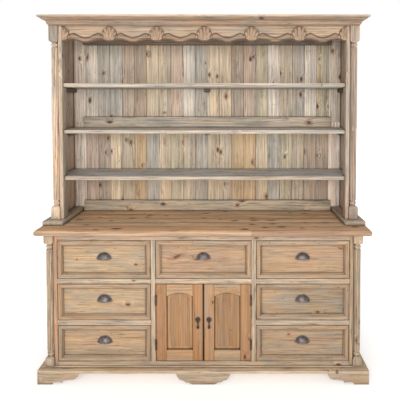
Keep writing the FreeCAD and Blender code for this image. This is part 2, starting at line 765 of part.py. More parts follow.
# Plinth: a moulded frame that the base stands on, with a plain rail across the back
def make_plinth():
    out = size.plinth_projection
    high = size.plinth_height
    inward = size.plinth_width - size.plinth_projection
    profile = [
        (-inward, ZERO), (out, ZERO), (out, size.plinth_edge),
        (out - size.plinth_step, size.plinth_edge),
        (size.plinth_land, high - size.plinth_step, -size.plinth_swell),
        (size.plinth_land, high), (-inward, high)]
    pieces = build_moulding("plinth", profile, body_half, base_front, out, inward, plinth_low)
    inside = body_half - inward
    pieces.append(board("plinth_back", (-inside, inside), (back_face - size.plinth_width, back_face),
                        (plinth_low, plinth_top)))
    node("plinth", *pieces)


# Bracket feet: boards cut to a scroll, one to each face of a corner, and a wide one in mid-front
def bracket_outline(side, start, length):
    """A bracket that begins at a distance along its face. Its scroll is set out in shares of its sides."""
    high = size.foot_height
    heel = length * 0.36
    steps = [
        (start, ZERO), (heel, ZERO), (length * 0.42, high * 0.2, high * 0.06),
        (length * 0.55, high * 0.2), (length * 0.59, high * 0.14), (length * 0.65, high * 0.36, high * 0.06),
        (length * 0.8, high * 0.42), (length, high, -high * 0.2), (start, high)]
    if side > 0:
        return steps
    return [(-point[0], *point[1:2], *[-bow for bow in point[2:]]) for point in steps]


def make_feet():
    thick = size.foot_thick
    flank_length = (back_face - plinth_front - size.foot_gap) / 2
    for side, hand in ((-1, "left"), (1, "right")):
        front = new_body("foot_front_" + hand, signed(side, plinth_half), plinth_front + thick, ZERO)
        pad(front, "XZ_Plane", bracket_outline(-side, ZERO, size.foot_length), thick)
        flank_x = signed(side, plinth_half) - thick / 2 * (1 + side)
        flank = new_body("foot_flank_" + hand, flank_x, plinth_front)
        pad(flank, "YZ_Plane", bracket_outline(1, thick, flank_length), thick)
        node("foot_" + hand, front, flank)
    rear = []
    for side, hand in ((-1, "left"), (1, "right")):
        flank = new_body("foot_rear_" + hand, signed(side, plinth_half) - thick / 2 * (1 + side), back_face)
        pad(flank, "YZ_Plane", bracket_outline(-1, ZERO, flank_length), thick)
        inner = plinth_half - thick
        rear.append(flank)
        rear.append(board("foot_block_" + hand, mirrored(side, inner - size.plinth_width / 2, inner),
                          (back_face - size.plinth_width, back_face), (ZERO, plinth_low)))
    node("feet_rear", *rear)
    half = size.centre_foot_width / 2
    high = size.foot_height
    right = [(half * 0.36, ZERO), (half * 0.54, high * 0.18, -high * 0.045),
             (half * 0.76, high * 0.38, -high * 0.07), (half * 0.92, high * 0.58, -high * 0.07),
             (half, high, -high * 0.03)]
    left = [(-half, high)]
    for number in range(len(right) - 2, -1, -1):
        point = right[number]
        left.append((-point[0], point[1], right[number + 1][2]))
    centre = new_body("foot_centre", y=plinth_front + thick)
    pad(centre, "XZ_Plane", right + left, thick)
    node("foot_centre", centre)


# Drawers
def moulding_strip(name, length, turn, x, y, z):
    """A mitred strip of the moulding round a drawer front: a flat band with a slope along its inner edge."""
    half = length / 2
    inner = size.strip_width + size.strip_bevel
    bands = []
    for part, low, high, low_rise, high_rise in (
            ("flat", ZERO, size.strip_width, size.strip_thick, size.strip_thick),
            ("slope", size.strip_width, inner, size.strip_shoulder, size.strip_lip)):
        band = doc.addObject("Part::Wedge", "%s_%s" % (name, part))
        for prop, number in (("Xmin", low - half), ("Xmax", half - low), ("X2min", high - half),
                             ("X2max", half - high), ("Ymin", low), ("Ymax", high), ("Zmin", ZERO),
                             ("Zmax", low_rise), ("Z2min", ZERO), ("Z2max", high_rise)):
            bind(band, prop, number)
        bands.append(band)
    strip = joined("Fuse", name, *bands)
    upright = FreeCAD.Rotation(FreeCAD.Vector(1, 0, 0), 90)
    strip.Placement = FreeCAD.Placement(
        FreeCAD.Vector(), FreeCAD.Rotation(FreeCAD.Vector(0, 1, 0), turn) * upright)
    place(strip, x, y, z)
    return strip


def cup_pull(name, x, z):
    """A half-dome pull, open below, on a half-round plate."""
    wall = base_front + size.strip_thick
    face = wall - size.cup_plate
    radius = (size.cup_half * size.cup_half + size.cup_reach * size.cup_reach) / (size.cup_reach * 2)
    centre_y = face - size.cup_reach + radius
    domes = []
    for part, dome_radius in (("outer", radius), ("inner", radius - size.cup_wall)):
        dome = doc.addObject("Part::Sphere", "%s_%s" % (name, part))
        dome.Angle1 = 0 if part == "outer" else -90
        bind(dome, "Radius", dome_radius)
        place(dome, x, centre_y, z)
        domes.append(dome)
    shell = joined("Cut", name + "_shell", *domes)
    reach = size.cup_half + size.cup_ear
    room = board(name + "_room", (x - reach, x + reach), (face - size.cup_reach * 2, face), (z, z + reach))
    dome = joined("Common", name + "_dome", shell, room)
    plate = new_body(name + "_plate", x, wall, z)
    pad(plate, "XZ_Plane", [
        (-reach, ZERO), (reach, ZERO), (reach, size.cup_ear),
        (-reach, size.cup_ear, -(size.cup_half - size.cup_ear / 2))], size.cup_plate)
    return joined("Fuse", name, dome, plate)


def make_drawer(name, x, z):
    """A drawer between the sides and between the bottom and top of its opening."""
    gap = size.front_gap
    low_x, high_x = x[0] + gap, x[1] - gap
    low_z, high_z = z[0] + gap, z[1] - gap
    face = base_front + size.strip_thick
    middle_x = (x[0] + x[1]) / 2
    middle_z = (z[0] + z[1]) / 2
    back = frame_back - size.drawer_stop
    front = [board(name + "_board", (low_x, high_x), (face, back), (low_z, high_z)),
             moulding_strip(name + "_strip_low", high_x - low_x, 0, middle_x, face, low_z),
             moulding_strip(name + "_strip_left", high_z - low_z, 90, low_x, face, middle_z),
             moulding_strip(name + "_strip_high", high_x - low_x, 180, middle_x, face, high_z),
             moulding_strip(name + "_strip_right", high_z - low_z, 270, high_x, face, middle_z)]
    node(name + "_front", *front)
    left, right = x[0] + size.box_gap, x[1] - size.box_gap
    low = z[0] + size.floor_thick + size.bearer_height + size.slide_gap
    high = z[1] - size.box_headroom
    end = plank_front - size.box_rear_gap
    inside = (left + size.box_side, right - size.box_side)
    node(name + "_box",
         board(name + "_side_left", (left, left + size.box_side), (back, end), (low, high)),
         board(name + "_side_right", (right - size.box_side, right), (back, end), (low, high)),
         board(name + "_back", inside, (end - size.box_back, end), (low, high)),
         board(name + "_bottom", inside, (back, end - size.box_back), (low, low + size.box_bottom)))
    node(name + "_pull", cup_pull(name + "_pull", middle_x, middle_z))


def make_drawers():
    centre = (-centre_half, centre_half)
    rows = (("top", (row_one_low, openings_top)), ("middle", (row_two_low, row_two_top)),
            ("bottom", (openings_low, row_three_top)))
    bearers = []
    depth = (frame_back, plank_front)
    for side, hand in ((-1, "left"), (1, "right")):
        for row, height in rows:
            name = "drawer_%s_%s" % (hand, row)
            make_drawer(name, mirrored(side, stile_outer, post_inner), height)
            level = (height[0] + size.floor_thick, height[0] + size.floor_thick + size.bearer_height)
            bearers.append(board("bearer_inner_%s_%s" % (hand, row),
                                 mirrored(side, partition_outer, partition_outer + size.bearer_width),
                                 depth, level))
            bearers.append(board("bearer_outer_%s_%s" % (hand, row),
                                 mirrored(side, post_inner - size.bearer_width, side_inner),
                                 (base_front + size.base_post_depth, plank_front), level))
        level = (row_one_low + size.floor_thick, row_one_low + size.floor_thick + size.bearer_height)
        bearers.append(board("bearer_centre_" + hand,
                             mirrored(side, partition_inner - size.bearer_width, partition_inner),
                             depth, level))
    make_drawer("drawer_centre", centre, rows[0][1])
    node("drawer_bearers", *bearers)


# Doors
door_top = row_two_top - size.front_gap
door_foot = openings_low + size.front_gap
door_inner = size.front_gap / 2
door_outer = centre_half - size.front_gap
door_back = frame_back - size.turning_gap - size.strike_thick
door_thick = door_back - base_front
panel_foot = door_foot + size.door_bottom_rail
arch_spring = door_top - size.door_crown - size.door_arch
hinge_x = centre_half - size.front_gap / 2
hinge_y = base_front - size.knuckle_radius - size.turning_gap
leaf_thick = (size.front_gap - size.leaf_gap) / 2
drop_y = base_front - size.drop_bulb - size.turning_gap * 2


def make_door(side, hand):
    depth = (base_front, door_back)
    panel_inner, panel_outer = door_inner + size.door_stile, door_outer - size.door_stile
    across = mirrored(side, panel_inner, panel_outer)
    arch = new_body("door_%s_top_rail" % hand, y=door_back)
    pad(arch, "XZ_Plane", [
        (across[0], door_top), (across[0], arch_spring),
        (across[1], arch_spring, size.door_arch), (across[1], door_top)], door_thick)
    node("door_%s_frame" % hand, arch,
         board("door_%s_meeting_stile" % hand, mirrored(side, door_inner, panel_inner), depth,
               (door_foot, door_top)),
         board("door_%s_hinge_stile" % hand, mirrored(side, panel_outer, door_outer), depth,
               (door_foot, door_top)),
         board("door_%s_bottom_rail" % hand, across, depth, (door_foot, panel_foot)))
    node("door_%s_panel" % hand, make_panel("door_%s_panel" % hand, across))


def make_panel(name, across):
    """A raised panel: a flat field with a sloped margin all round, arched at the top."""
    body = new_body(name, y=door_back)
    back_thick = size.panel_thick - size.panel_slope
    margin = size.panel_margin
    edge = [(across[0], panel_foot), (across[1], panel_foot), (across[1], arch_spring),
            (across[0], arch_spring, -size.door_arch)]
    field = [(across[0] + margin, panel_foot + margin), (across[1] - margin, panel_foot + margin),
             (across[1] - margin, arch_spring - margin / 2),
             (across[0] + margin, arch_spring - margin / 2, -size.door_arch)]
    pad(body, "XZ_Plane", edge, back_thick)
    sections = []
    for points, height in ((edge, back_thick), (field, size.panel_thick)):
        sketch = new_sketch(body, "XZ_Plane")
        bind(sketch, "AttachmentOffset.Base.z", height)
        outline(sketch, points)
        sections.append(sketch)
    raised = body.newObject("PartDesign::AdditiveLoft", name + "_raised")
    raised.Profile = sections[0]
    raised.Sections = sections[1:]
    raised.Ruled = True
    return body


# Butt hinges: a leaf on the stile carries the outer knuckles and the pin, a leaf on the door the middle one
def hinge_leaf(name, side, leaf, low, knuckles):
    """A leaf between two distances from the middle, with its knuckles as pairs of low and high."""
    x = mirrored(side, *leaf)
    pieces = [board(name + "_plate", x, (base_front, base_front + size.leaf_width),
                    (low, low + size.hinge_length))]
    for number, (start, end) in enumerate(knuckles):
        pieces.append(board("%s_neck_%d" % (name, number), x, (hinge_y, base_front), (start, end)))
        pieces.append(rod("%s_knuckle_%d" % (name, number), "Z", size.knuckle_radius,
                          (signed(side, hinge_x), hinge_y, start), end - start))
    return pieces


def fused(name, pieces):
    result = doc.addObject("Part::MultiFuse", name)
    result.Shapes = pieces
    return result


def make_hinge(side, hand, row, low):
    """The fixed leaf with its pin, and the door's leaf bored for it."""
    third = size.hinge_length / 3
    gap = size.turning_gap / 2
    high = low + size.hinge_length
    place_name = "%s_%s" % (hand, row)
    fixed = hinge_leaf("fixed_leaf_" + place_name, side, (centre_half - leaf_thick, centre_half), low,
                       [(low, low + third - gap), (high - third + gap, high)])
    fixed.append(rod("hinge_pin_" + place_name, "Z", size.pin_radius,
                     (signed(side, hinge_x), hinge_y, low), size.hinge_length))
    moving = hinge_leaf("door_leaf_" + place_name, side, (door_outer, door_outer + leaf_thick), low,
                        [(low + third + gap, high - third - gap)])
    bore = rod("hinge_bore_" + place_name, "Z", size.pin_radius + size.turning_gap,
               (signed(side, hinge_x), hinge_y, low), size.hinge_length)
    fixed_leaf = fused("hinge_fixed_" + place_name, fixed)
    door_leaf = joined("Cut", "hinge_door_" + place_name, fused("hinge_blank_" + place_name, moving), bore)
    return fixed_leaf, door_leaf


# Drop pulls: a rose with a pointed tail and two lugs, and a drop that swings on the pin between them
def make_rose(side, hand):
    x = signed(side, size.drop_offset)
    face = base_front - size.rose_thick
    rose = new_body("rose_plate_" + hand, x, base_front, size.drop_height)
    reach = size.rose_radius * SHOULDER_REACH
    fall = size.rose_radius * SHOULDER_FALL
    pad(rose, "XZ_Plane", [
        (ZERO, -size.rose_tail), (reach, -fall),
        (-reach, -fall, -(size.rose_radius + fall))], size.rose_thick)
    pieces = [rose]
    lug = size.eye_width / 2 + size.turning_gap
    for edge, name in ((-1, "left"), (1, "right")):
        low, high = mirrored(edge, lug, lug + size.lug_thick)
        pieces.append(board("rose_lug_%s_%s" % (hand, name), (x + low, x + high),
                            (drop_y - size.eye_radius, face),
                            (size.drop_height - size.eye_radius, size.drop_height + size.eye_radius)))
    pieces.append(rod("rose_pin_" + hand, "X", size.drop_pin,
                      (x - lug - size.lug_thick, drop_y, size.drop_height), (lug + size.lug_thick) * 2))
    return fused("rose_" + hand, pieces)


def make_drop(side, hand):
    x = signed(side, size.drop_offset)
    bulb_z = size.drop_height - size.drop_length + size.drop_bulb
    eye = rod("drop_eye_" + hand, "X", size.eye_radius,
              (x - size.eye_width / 2, drop_y, size.drop_height), size.eye_width)
    neck = doc.addObject("Part::Cone", "drop_neck_" + hand)
    bind(neck, "Radius1", size.drop_neck * NECK_FLARE)
    bind(neck, "Radius2", size.drop_neck)
    bind(neck, "Height", size.drop_height - bulb_z - size.eye_radius / 2)
    place(neck, x, drop_y, bulb_z)
    bulb = doc.addObject("Part::Sphere", "drop_bulb_" + hand)
    bind(bulb, "Radius", size.drop_bulb)
    place(bulb, x, drop_y, bulb_z)
    bore = rod("drop_bore_" + hand, "X", size.drop_pin + size.turning_gap,
               (x - size.eye_width, drop_y, size.drop_height), size.eye_width * 2)
    blank = fused("drop_blank_" + hand, [eye, neck, bulb])
    node("door_%s_drop" % hand, joined("Cut", "drop_" + hand, blank, bore))


def make_doors():
    fixed_leaves = []
    catches = []
    for side, hand in ((-1, "left"), (1, "right")):
        make_door(side, hand)
        hardware = []
        for row, low in (("low", door_foot + size.hinge_inset),
                         ("high", door_top - size.hinge_inset - size.hinge_length)):
            fixed_leaf, door_leaf = make_hinge(side, hand, row, low)
            fixed_leaves.append(fixed_leaf)
            hardware.append(door_leaf)
        catch_inner = door_inner + size.catch_inset
        across = mirrored(side, catch_inner, catch_inner + size.catch_width)
        hardware.append(board("strike_" + hand, across, (door_back, frame_back - size.turning_gap),
                              (door_top - size.strike_height, door_top)))
        node("door_%s_hardware" % hand, make_rose(side, hand), *hardware)
        make_drop(side, hand)
        catches.append(board("catch_" + hand, across, (frame_back, frame_back + size.catch_depth),
                             (row_two_top - size.catch_height, row_two_top + size.catch_height)))
    node("hinge_leaves", *fixed_leaves)
    node("door_catches", *catches)


def make_cupboard_shelf():
    depth = (frame_back + size.cupboard_shelf_setback, plank_front)
    under = size.cupboard_shelf_height - size.shelf_thick
    pieces = [board("cupboard_board", (-partition_inner, partition_inner), depth,
                    (under, size.cupboard_shelf_height))]
    for side, hand in ((-1, "left"), (1, "right")):
        pieces.append(board("cupboard_cleat_" + hand,
                            mirrored(side, partition_inner - size.cleat_width, partition_inner), depth,
                            (under - size.cleat_height, under)))
    node("cupboard_shelf", *pieces)


def write_parts():
    doc.recompute()
    broken = [thing.Label for thing in doc.Objects if "Invalid" in thing.State or "Error" in thing.State]
    if broken:
        raise RuntimeError("failed to build: " + ", ".join(broken))
    for part in nodes:
        if part.Shape.isNull() or not part.Shape.isValid() or not part.Shape.Solids:
            raise RuntimeError("not a valid solid: " + part.Label)
    os.makedirs("parts", exist_ok=True)
    for part in nodes:
        part.Shape.exportStep("parts/%s.step" % part.Label)
    print(len(nodes), "sub-parts,", sum(len(part.Shape.Solids) for part in nodes), "solids")


make_countertop()
make_hutch_frame()
make_hutch_back()
make_shelves()
make_valance()
make_cornice()
make_base_frame()
make_face_frame()
make_plinth()
make_feet()
make_drawers()
make_doors()
make_cupboard_shelf()
write_parts()
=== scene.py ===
# %% [markdown]
# A dresser with a hutch in reclaimed pine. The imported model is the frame: every board, moulding and pull
# already has its size and its place, and every moving piece its body. This lesson dresses that frame, so
# that nothing is measured twice: a piece is made from its node, rides on the node's body and stands for
# the node.

# %% Load the frame
import json
import math
import random

import bmesh
import bpy
from mathutils import Matrix, Vector


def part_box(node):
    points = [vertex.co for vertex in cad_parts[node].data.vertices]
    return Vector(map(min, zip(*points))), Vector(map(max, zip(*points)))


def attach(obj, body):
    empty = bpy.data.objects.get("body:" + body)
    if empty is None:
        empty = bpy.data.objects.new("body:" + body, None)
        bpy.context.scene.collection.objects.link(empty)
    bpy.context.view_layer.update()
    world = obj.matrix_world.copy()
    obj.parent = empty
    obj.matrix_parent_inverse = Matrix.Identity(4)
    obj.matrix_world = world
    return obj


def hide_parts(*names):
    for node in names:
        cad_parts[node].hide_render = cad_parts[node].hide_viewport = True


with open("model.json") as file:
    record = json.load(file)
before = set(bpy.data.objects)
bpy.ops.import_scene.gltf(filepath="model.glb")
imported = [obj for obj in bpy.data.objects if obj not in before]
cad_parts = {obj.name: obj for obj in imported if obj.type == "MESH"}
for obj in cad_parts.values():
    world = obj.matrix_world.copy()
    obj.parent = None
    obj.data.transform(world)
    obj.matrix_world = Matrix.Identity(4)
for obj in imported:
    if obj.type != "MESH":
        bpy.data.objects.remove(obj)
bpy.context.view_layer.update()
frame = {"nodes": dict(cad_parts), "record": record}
nodes = frame["nodes"]
record = frame["record"]
body_of = {node: body for body, names in record["behaviour"]["bodies"].items() for node in names}
slot_of = {part["node"]: part["material_slot"] for part in record["subparts"]}

# %% [markdown]
# The photograph was taken a little right of the middle, from about eye height, with the lens tilted
# slightly down. A tilted lens would make uprights lean, so most of the downward view is made by shifting
# the lens, as a view camera does. Focal length and shifts are shares of the picture's width.

# %% Camera
FOCAL_PIXELS = 472.1
PICTURE_PIXELS = 400
SENSOR_MM = 36
LENS_SHIFT = (-0.0799, -0.1957)
CAMERA_TILT = math.radians(2.13)
CAMERA_PLACE = Vector((0.172, -3.030, 1.676))

camera_data = bpy.data.cameras.new("camera")
camera_data.sensor_width = SENSOR_MM
camera_data.lens = FOCAL_PIXELS / PICTURE_PIXELS * SENSOR_MM
camera_data.shift_x, camera_data.shift_y = LENS_SHIFT
camera = bpy.data.objects.new("camera", camera_data)
camera.location = CAMERA_PLACE
camera.rotation_euler = (math.radians(90) - CAMERA_TILT, 0, 0)
bpy.context.collection.objects.link(camera)
bpy.context.scene.camera = camera
print("lens", round(camera_data.lens, 1), "mm")

# %% [markdown]
# A finish is a tree of nodes. Adding them one by one in Python takes several lines each, so a small class
# adds a node, sets it up and links it in one call. A value that is the same all over goes straight onto
# its socket. Colours are written as a paint chart gives them, from 0 to 255, and made linear, as Blender
# wants them.

# %% A finish as a graph
class Finish:
    """A material whose nodes are linked as they are added."""

    def __init__(self, name):
        self.material = bpy.data.materials.new(name)
        self.material.use_nodes = True
        self.tree = self.material.node_tree
        self.shader = self.tree.nodes["Principled BSDF"]

    def feed(self, socket, value):
        """Links a value that varies, and writes one that doesn't onto the socket."""
        if isinstance(value, bpy.types.NodeSocket):
            self.tree.links.new(value, socket)
        else:
            socket.default_value = value

    def surface(self, sockets):
        """Feeds the sockets of the shader itself."""
        for name, value in sockets.items():
            self.feed(self.shader.inputs[name], value)

    def add(self, kind, sockets=None, **settings):
        """Adds a node, sets it up and feeds its sockets."""
        node = self.tree.nodes.new("ShaderNode" + kind)
        for name, value in settings.items():
            setattr(node, name, value)
        for socket, value in (sockets or {}).items():
            self.feed(node.inputs[socket], value)
        return node

    def math(self, operation, *values):
        return self.add("Math", dict(enumerate(values)), operation=operation).outputs[0]

    def times(self, first, second):
        return self.math("MULTIPLY", first, second)

    def length(self, place):
        return self.add("VectorMath", {0: place}, operation="LENGTH").outputs["Value"]

    def ramp(self, value, low, high, start=0.0, end=1.0):
        """A smooth step from start to end while the value goes from low to high."""
        return self.add("MapRange", {"Value": value, "From Min": low, "From Max": high, "To Min": start,
                                     "To Max": end}, interpolation_type="SMOOTHSTEP").outputs[0]

    def mix(self, share, first, second, blend="MIX"):
        """Two colours mixed. The node keeps sockets for other kinds of values too, so they go by number."""
        node = self.add("Mix", {0: share, 6: first, 7: second}, data_type="RGBA", blend_type=blend)
        return node.outputs[2]

    def noise(self, place, scale, detail=2.0, roughness=0.5):
        """Soft noise with its own number of waves per metre in each direction."""
        scaled = self.add("Mapping", {"Vector": place, "Scale": scale}).outputs[0]
        return self.add("TexNoise", {"Vector": scaled, "Scale": 1.0, "Detail": detail,
                                     "Roughness": roughness}).outputs["Fac"]

    def bump(self, height, strength, distance):
        return self.add("Bump", {"Strength": strength, "Distance": distance,
                                 "Height": height}).outputs["Normal"]


def paint(red, green, blue, weather=0.3):
    """A colour from 0 to 255, made linear. Its last value is how weathered the wood is."""
    linear = [(value / 255 / 12.92) if value < 11 else ((value / 255 + 0.055) / 1.055) ** 2.4
              for value in (red, green, blue)]
    return (*linear, weather)


print("paint 200 170 130 is", [round(value, 3) for value in paint(200, 170, 130)])

# %% [markdown]
# The studio stands on a pale paper floor. It glows a little more with every step away from the dresser,
# so that it ends in the white of the sky without a horizon, and the shadow near the feet is kept. A disc
# with a faint mottle is enough, because nothing else of the floor is seen.

# %% Floor
FLOOR_RADIUS = 30.0
FLOOR_SIDES = 96
WHITE = (1.0, 1.0, 1.0, 1.0)
PAPER = paint(246, 246, 245, 1.0)
BRIGHT_PAPER = paint(250, 250, 250, 1.0)
MOTTLE_WAVES = (3.0, 3.0, 3.0)
GLOW_REACH = (0.9, 2.2)
GLOW = (0.40, 0.8)


def pale_floor():
    finish = Finish("pale_floor")
    place = finish.add("TexCoord").outputs["Object"]
    mottle = finish.noise(place, MOTTLE_WAVES)
    finish.surface({"Base Color": finish.mix(mottle, PAPER, BRIGHT_PAPER), "Roughness": 0.9,
                    "Specular IOR Level": 0.1, "Emission Color": WHITE,
                    "Emission Strength": finish.ramp(finish.length(place), *GLOW_REACH, *GLOW)})
    return finish.material


floor_mesh = bmesh.new()
bmesh.ops.create_circle(floor_mesh, cap_ends=True, radius=FLOOR_RADIUS, segments=FLOOR_SIDES)
floor_data = bpy.data.meshes.new("floor")
floor_mesh.to_mesh(floor_data)
floor_mesh.free()
floor_data.materials.append(pale_floor())
floor = bpy.data.objects.new("floor", floor_data)
bpy.context.collection.objects.link(floor)
print("floor disc", 2 * FLOOR_RADIUS, "m across")

# %% [markdown]
# An even sky and two broad soft lights beside the camera light the dresser the way a catalogue picture is
# lit: light from the front reaches the back of the hutch. The sky is bright white where it is seen and
# dimmer where it lights, and the standard view keeps white paper white.

# %% Sky and lights
SKY_LIGHT = 0.5
SKY_SEEN = 1.0
LIGHT_WIDTH = 2.4
LIGHT_TARGET = Vector((0, 0, 1.1))
LIGHTS = {"left_light": (Vector((-1.0, -5.3, 2.5)), 128), "right_light": (Vector((1.2, -5.3, 2.1)), 66)}

world = bpy.data.worlds.new("white_sky")
world.use_nodes = True
sky = world.node_tree.nodes["Background"]
sky.inputs["Color"].default_value = WHITE
rays = world.node_tree.nodes.new("ShaderNodeLightPath")
seen = world.node_tree.nodes.new("ShaderNodeMapRange")
seen.inputs["To Min"].default_value = SKY_LIGHT
seen.inputs["To Max"].default_value = SKY_SEEN
world.node_tree.links.new(rays.outputs["Is Camera Ray"], seen.inputs["Value"])
world.node_tree.links.new(seen.outputs["Result"], sky.inputs["Strength"])
bpy.context.scene.world = world
bpy.context.scene.view_settings.view_transform = "Standard"


def soft_light(name, place, watts):
    data = bpy.data.lights.new(name, "AREA")
    data.shape = "DISK"
    data.size = LIGHT_WIDTH
    data.energy = watts
    light = bpy.data.objects.new(name, data)
    light.location = place
    light.rotation_euler = (LIGHT_TARGET - place).to_track_quat("-Z", "Y").to_euler()
    bpy.context.collection.objects.link(light)


for name, (place, watts) in LIGHTS.items():
    soft_light(name, place, watts)
print("sky at", SKY_LIGHT, "and", len(LIGHTS), "lights")

# %% [markdown]
# Every board differs, yet one tree of nodes should serve them all, whichever way they lie. Three
# attributes carry what differs. "grain" is a place in the board's own directions, with its first value
# along the grain and a random start. "tone" is the colour, with the share of weathering as its fourth
# value. "knot" says how many knot sizes away a place is from a knot that was listed. The finish
# keeps one colour and changes it step by step.

# %% A finish for wood
class Wood(Finish):
    """A finish that reads the grain, tone and knot of every board."""

    def __init__(self, name):
        super().__init__(name)
        self.grain = self.add("Attribute", attribute_name="grain").outputs["Vector"]
        self.knot = self.add("Attribute", attribute_name="knot").outputs["Vector"]
        tone = self.add("Attribute", attribute_name="tone")
        self.colour = tone.outputs["Color"]
        self.weather = tone.outputs["Alpha"]

    def shade(self, light):
        """Makes the colour lighter or darker."""
        grey = self.add("CombineColor", {0: light, 1: light, 2: light}).outputs[0]
        self.colour = self.mix(1.0, self.colour, grey, "MULTIPLY")

    def wash(self, share, tint):
        """Tints a share of the colour."""
        self.colour = self.mix(share, self.colour, self.mix(1.0, self.colour, tint, "MULTIPLY"))

    def cover(self, share, cover):
        """Lays another colour over a share of it."""
        self.colour = self.mix(share, self.colour, cover)

    def dots(self, along, across, share):
        """Scattered dots: how far the nearest one is, a roll of its dice and whether it was picked."""
        place = self.add("Mapping", {"Vector": self.grain, "Scale": (along, across, across)}).outputs[0]
        cells = self.add("TexVoronoi", {"Vector": place, "Scale": 1.0}, voronoi_dimensions="2D")
        dice = self.add("SeparateColor", {0: cells.outputs["Color"]})
        return cells.outputs["Distance"], dice.outputs[1], self.math("LESS_THAN", dice.outputs[0], share)


print("wood reads grain, knot and tone")

# %% [markdown]
# A knot is the foot of a branch. Here it is a cell of a flat Voronoi texture that a dice roll picked, so
# it goes right through the board, as real ones do. Wood with no weathering at all is clear. The few knots
# that catch the eye on the photograph are listed and read from their attribute, with a noise that
# makes their outline uneven. Both kinds also say how far they push the grain aside.

# %% Knots
KNOT_CELLS = (9.0, 17.0)
KNOT_LEAST = 0.05
KNOT_SPREAD = 0.11
KNOT_RING_WIDTH = 0.14
KNOT_BEND = 0.03
PLACED_BEND = 0.012
CLEAR_BELOW = 0.1
OUTLINE_WAVES = (70.0, 70.0, 70.0)
OUTLINE_DEPTH = 0.9


def scattered_knots(wood, share, growth):
    """The cores and rings of knots that the dice picked, and how far they bend the grain."""
    distance, roll, picked = wood.dots(*KNOT_CELLS, share)
    picked = wood.times(picked, wood.ramp(wood.weather, 0.0, CLEAR_BELOW))
    size = wood.math("MULTIPLY_ADD", roll, KNOT_SPREAD * growth, KNOT_LEAST * growth)
    outside = wood.math("ADD", size, KNOT_RING_WIDTH)
    core = wood.times(picked, wood.ramp(distance, wood.times(size, 0.6), size, 1.0, 0.0))
    ring = wood.times(picked, wood.ramp(distance, size, outside, 1.0, 0.0))
    bend = wood.times(wood.times(picked, wood.ramp(distance, 0.0, 0.5, 1.0, 0.0)), KNOT_BEND)
    return core, ring, bend


def placed_knots(wood):
    """The hearts and halos of knots that were listed, and how far they bend the grain."""
    reach = wood.math("MULTIPLY_ADD", wood.noise(wood.grain, OUTLINE_WAVES), OUTLINE_DEPTH,
                      wood.length(wood.knot))
    heart = wood.ramp(reach, 0.8, 1.35, 1.0, 0.0)
    halo = wood.ramp(reach, 1.3, 2.4, 1.0, 0.0)
    bend = wood.ramp(reach, 0.5, 4.0, PLACED_BEND, 0.0)
    return heart, halo, bend


print("knot cells", [round(1 / waves, 3) for waves in KNOT_CELLS], "m along and across the grain")

# %% [markdown]
# Reclaimed pine is banded and lined along the grain, bleached grey in places, cracked, stained and
# knotted. Each of these is a noise with many more waves across the grain than along it. The lines bend
# round a knot, because its bend is added to the place where they are read. Where a corner is sheltered,
# which Blender's ambient occlusion measures, the colour is darkened: dirt and painted shade.

# %% Pine
LAYERS = {  # waves per metre along and across the grain, detail, roughness
    "bands": (0.3, 22.0, 3.0, 0.6), "washes": (0.45, 28.0, 3.0, 0.6), "streaks": (1.2, 115.0, 3.0, 0.6),
    "lines": (1.8, 240.0, 3.0, 0.6), "fibres": (5.0, 650.0, 2.0, 0.6), "patches": (1.6, 16.0, 5.0, 0.7),
    "cracks": (3.0, 130.0, 4.0, 0.65), "stains": (2.0, 10.0, 5.0, 0.75), "flakes": (0.7, 42.0, 5.0, 0.7)}
FINER_LAYERS = ("bands", "washes", "streaks")
KNOT_CORE = paint(70, 48, 38, 1.0)
KNOT_RING = paint(140, 92, 64, 1.0)
KNOT_HEART = paint(96, 52, 38, 1.0)
BLEACHED = paint(142, 138, 130, 1.0)
HOLE_COLOUR = paint(44, 34, 28, 1.0)
HOLE_DOTS = (20.0, 20.0, 0.06)
OLD_PAINT = paint(186, 112, 84, 1.0)
WARM_WASH = (1.05, 0.94, 0.83, 1.0)
COOL_WASH = (0.88, 0.92, 0.97, 1.0)
CRACK_WASH = (0.42, 0.37, 0.34, 1.0)
STAIN_WASH = (0.55, 0.53, 0.53, 1.0)
DIRT_AND_SHADE_WASH = (0.22, 0.17, 0.13, 1.0)


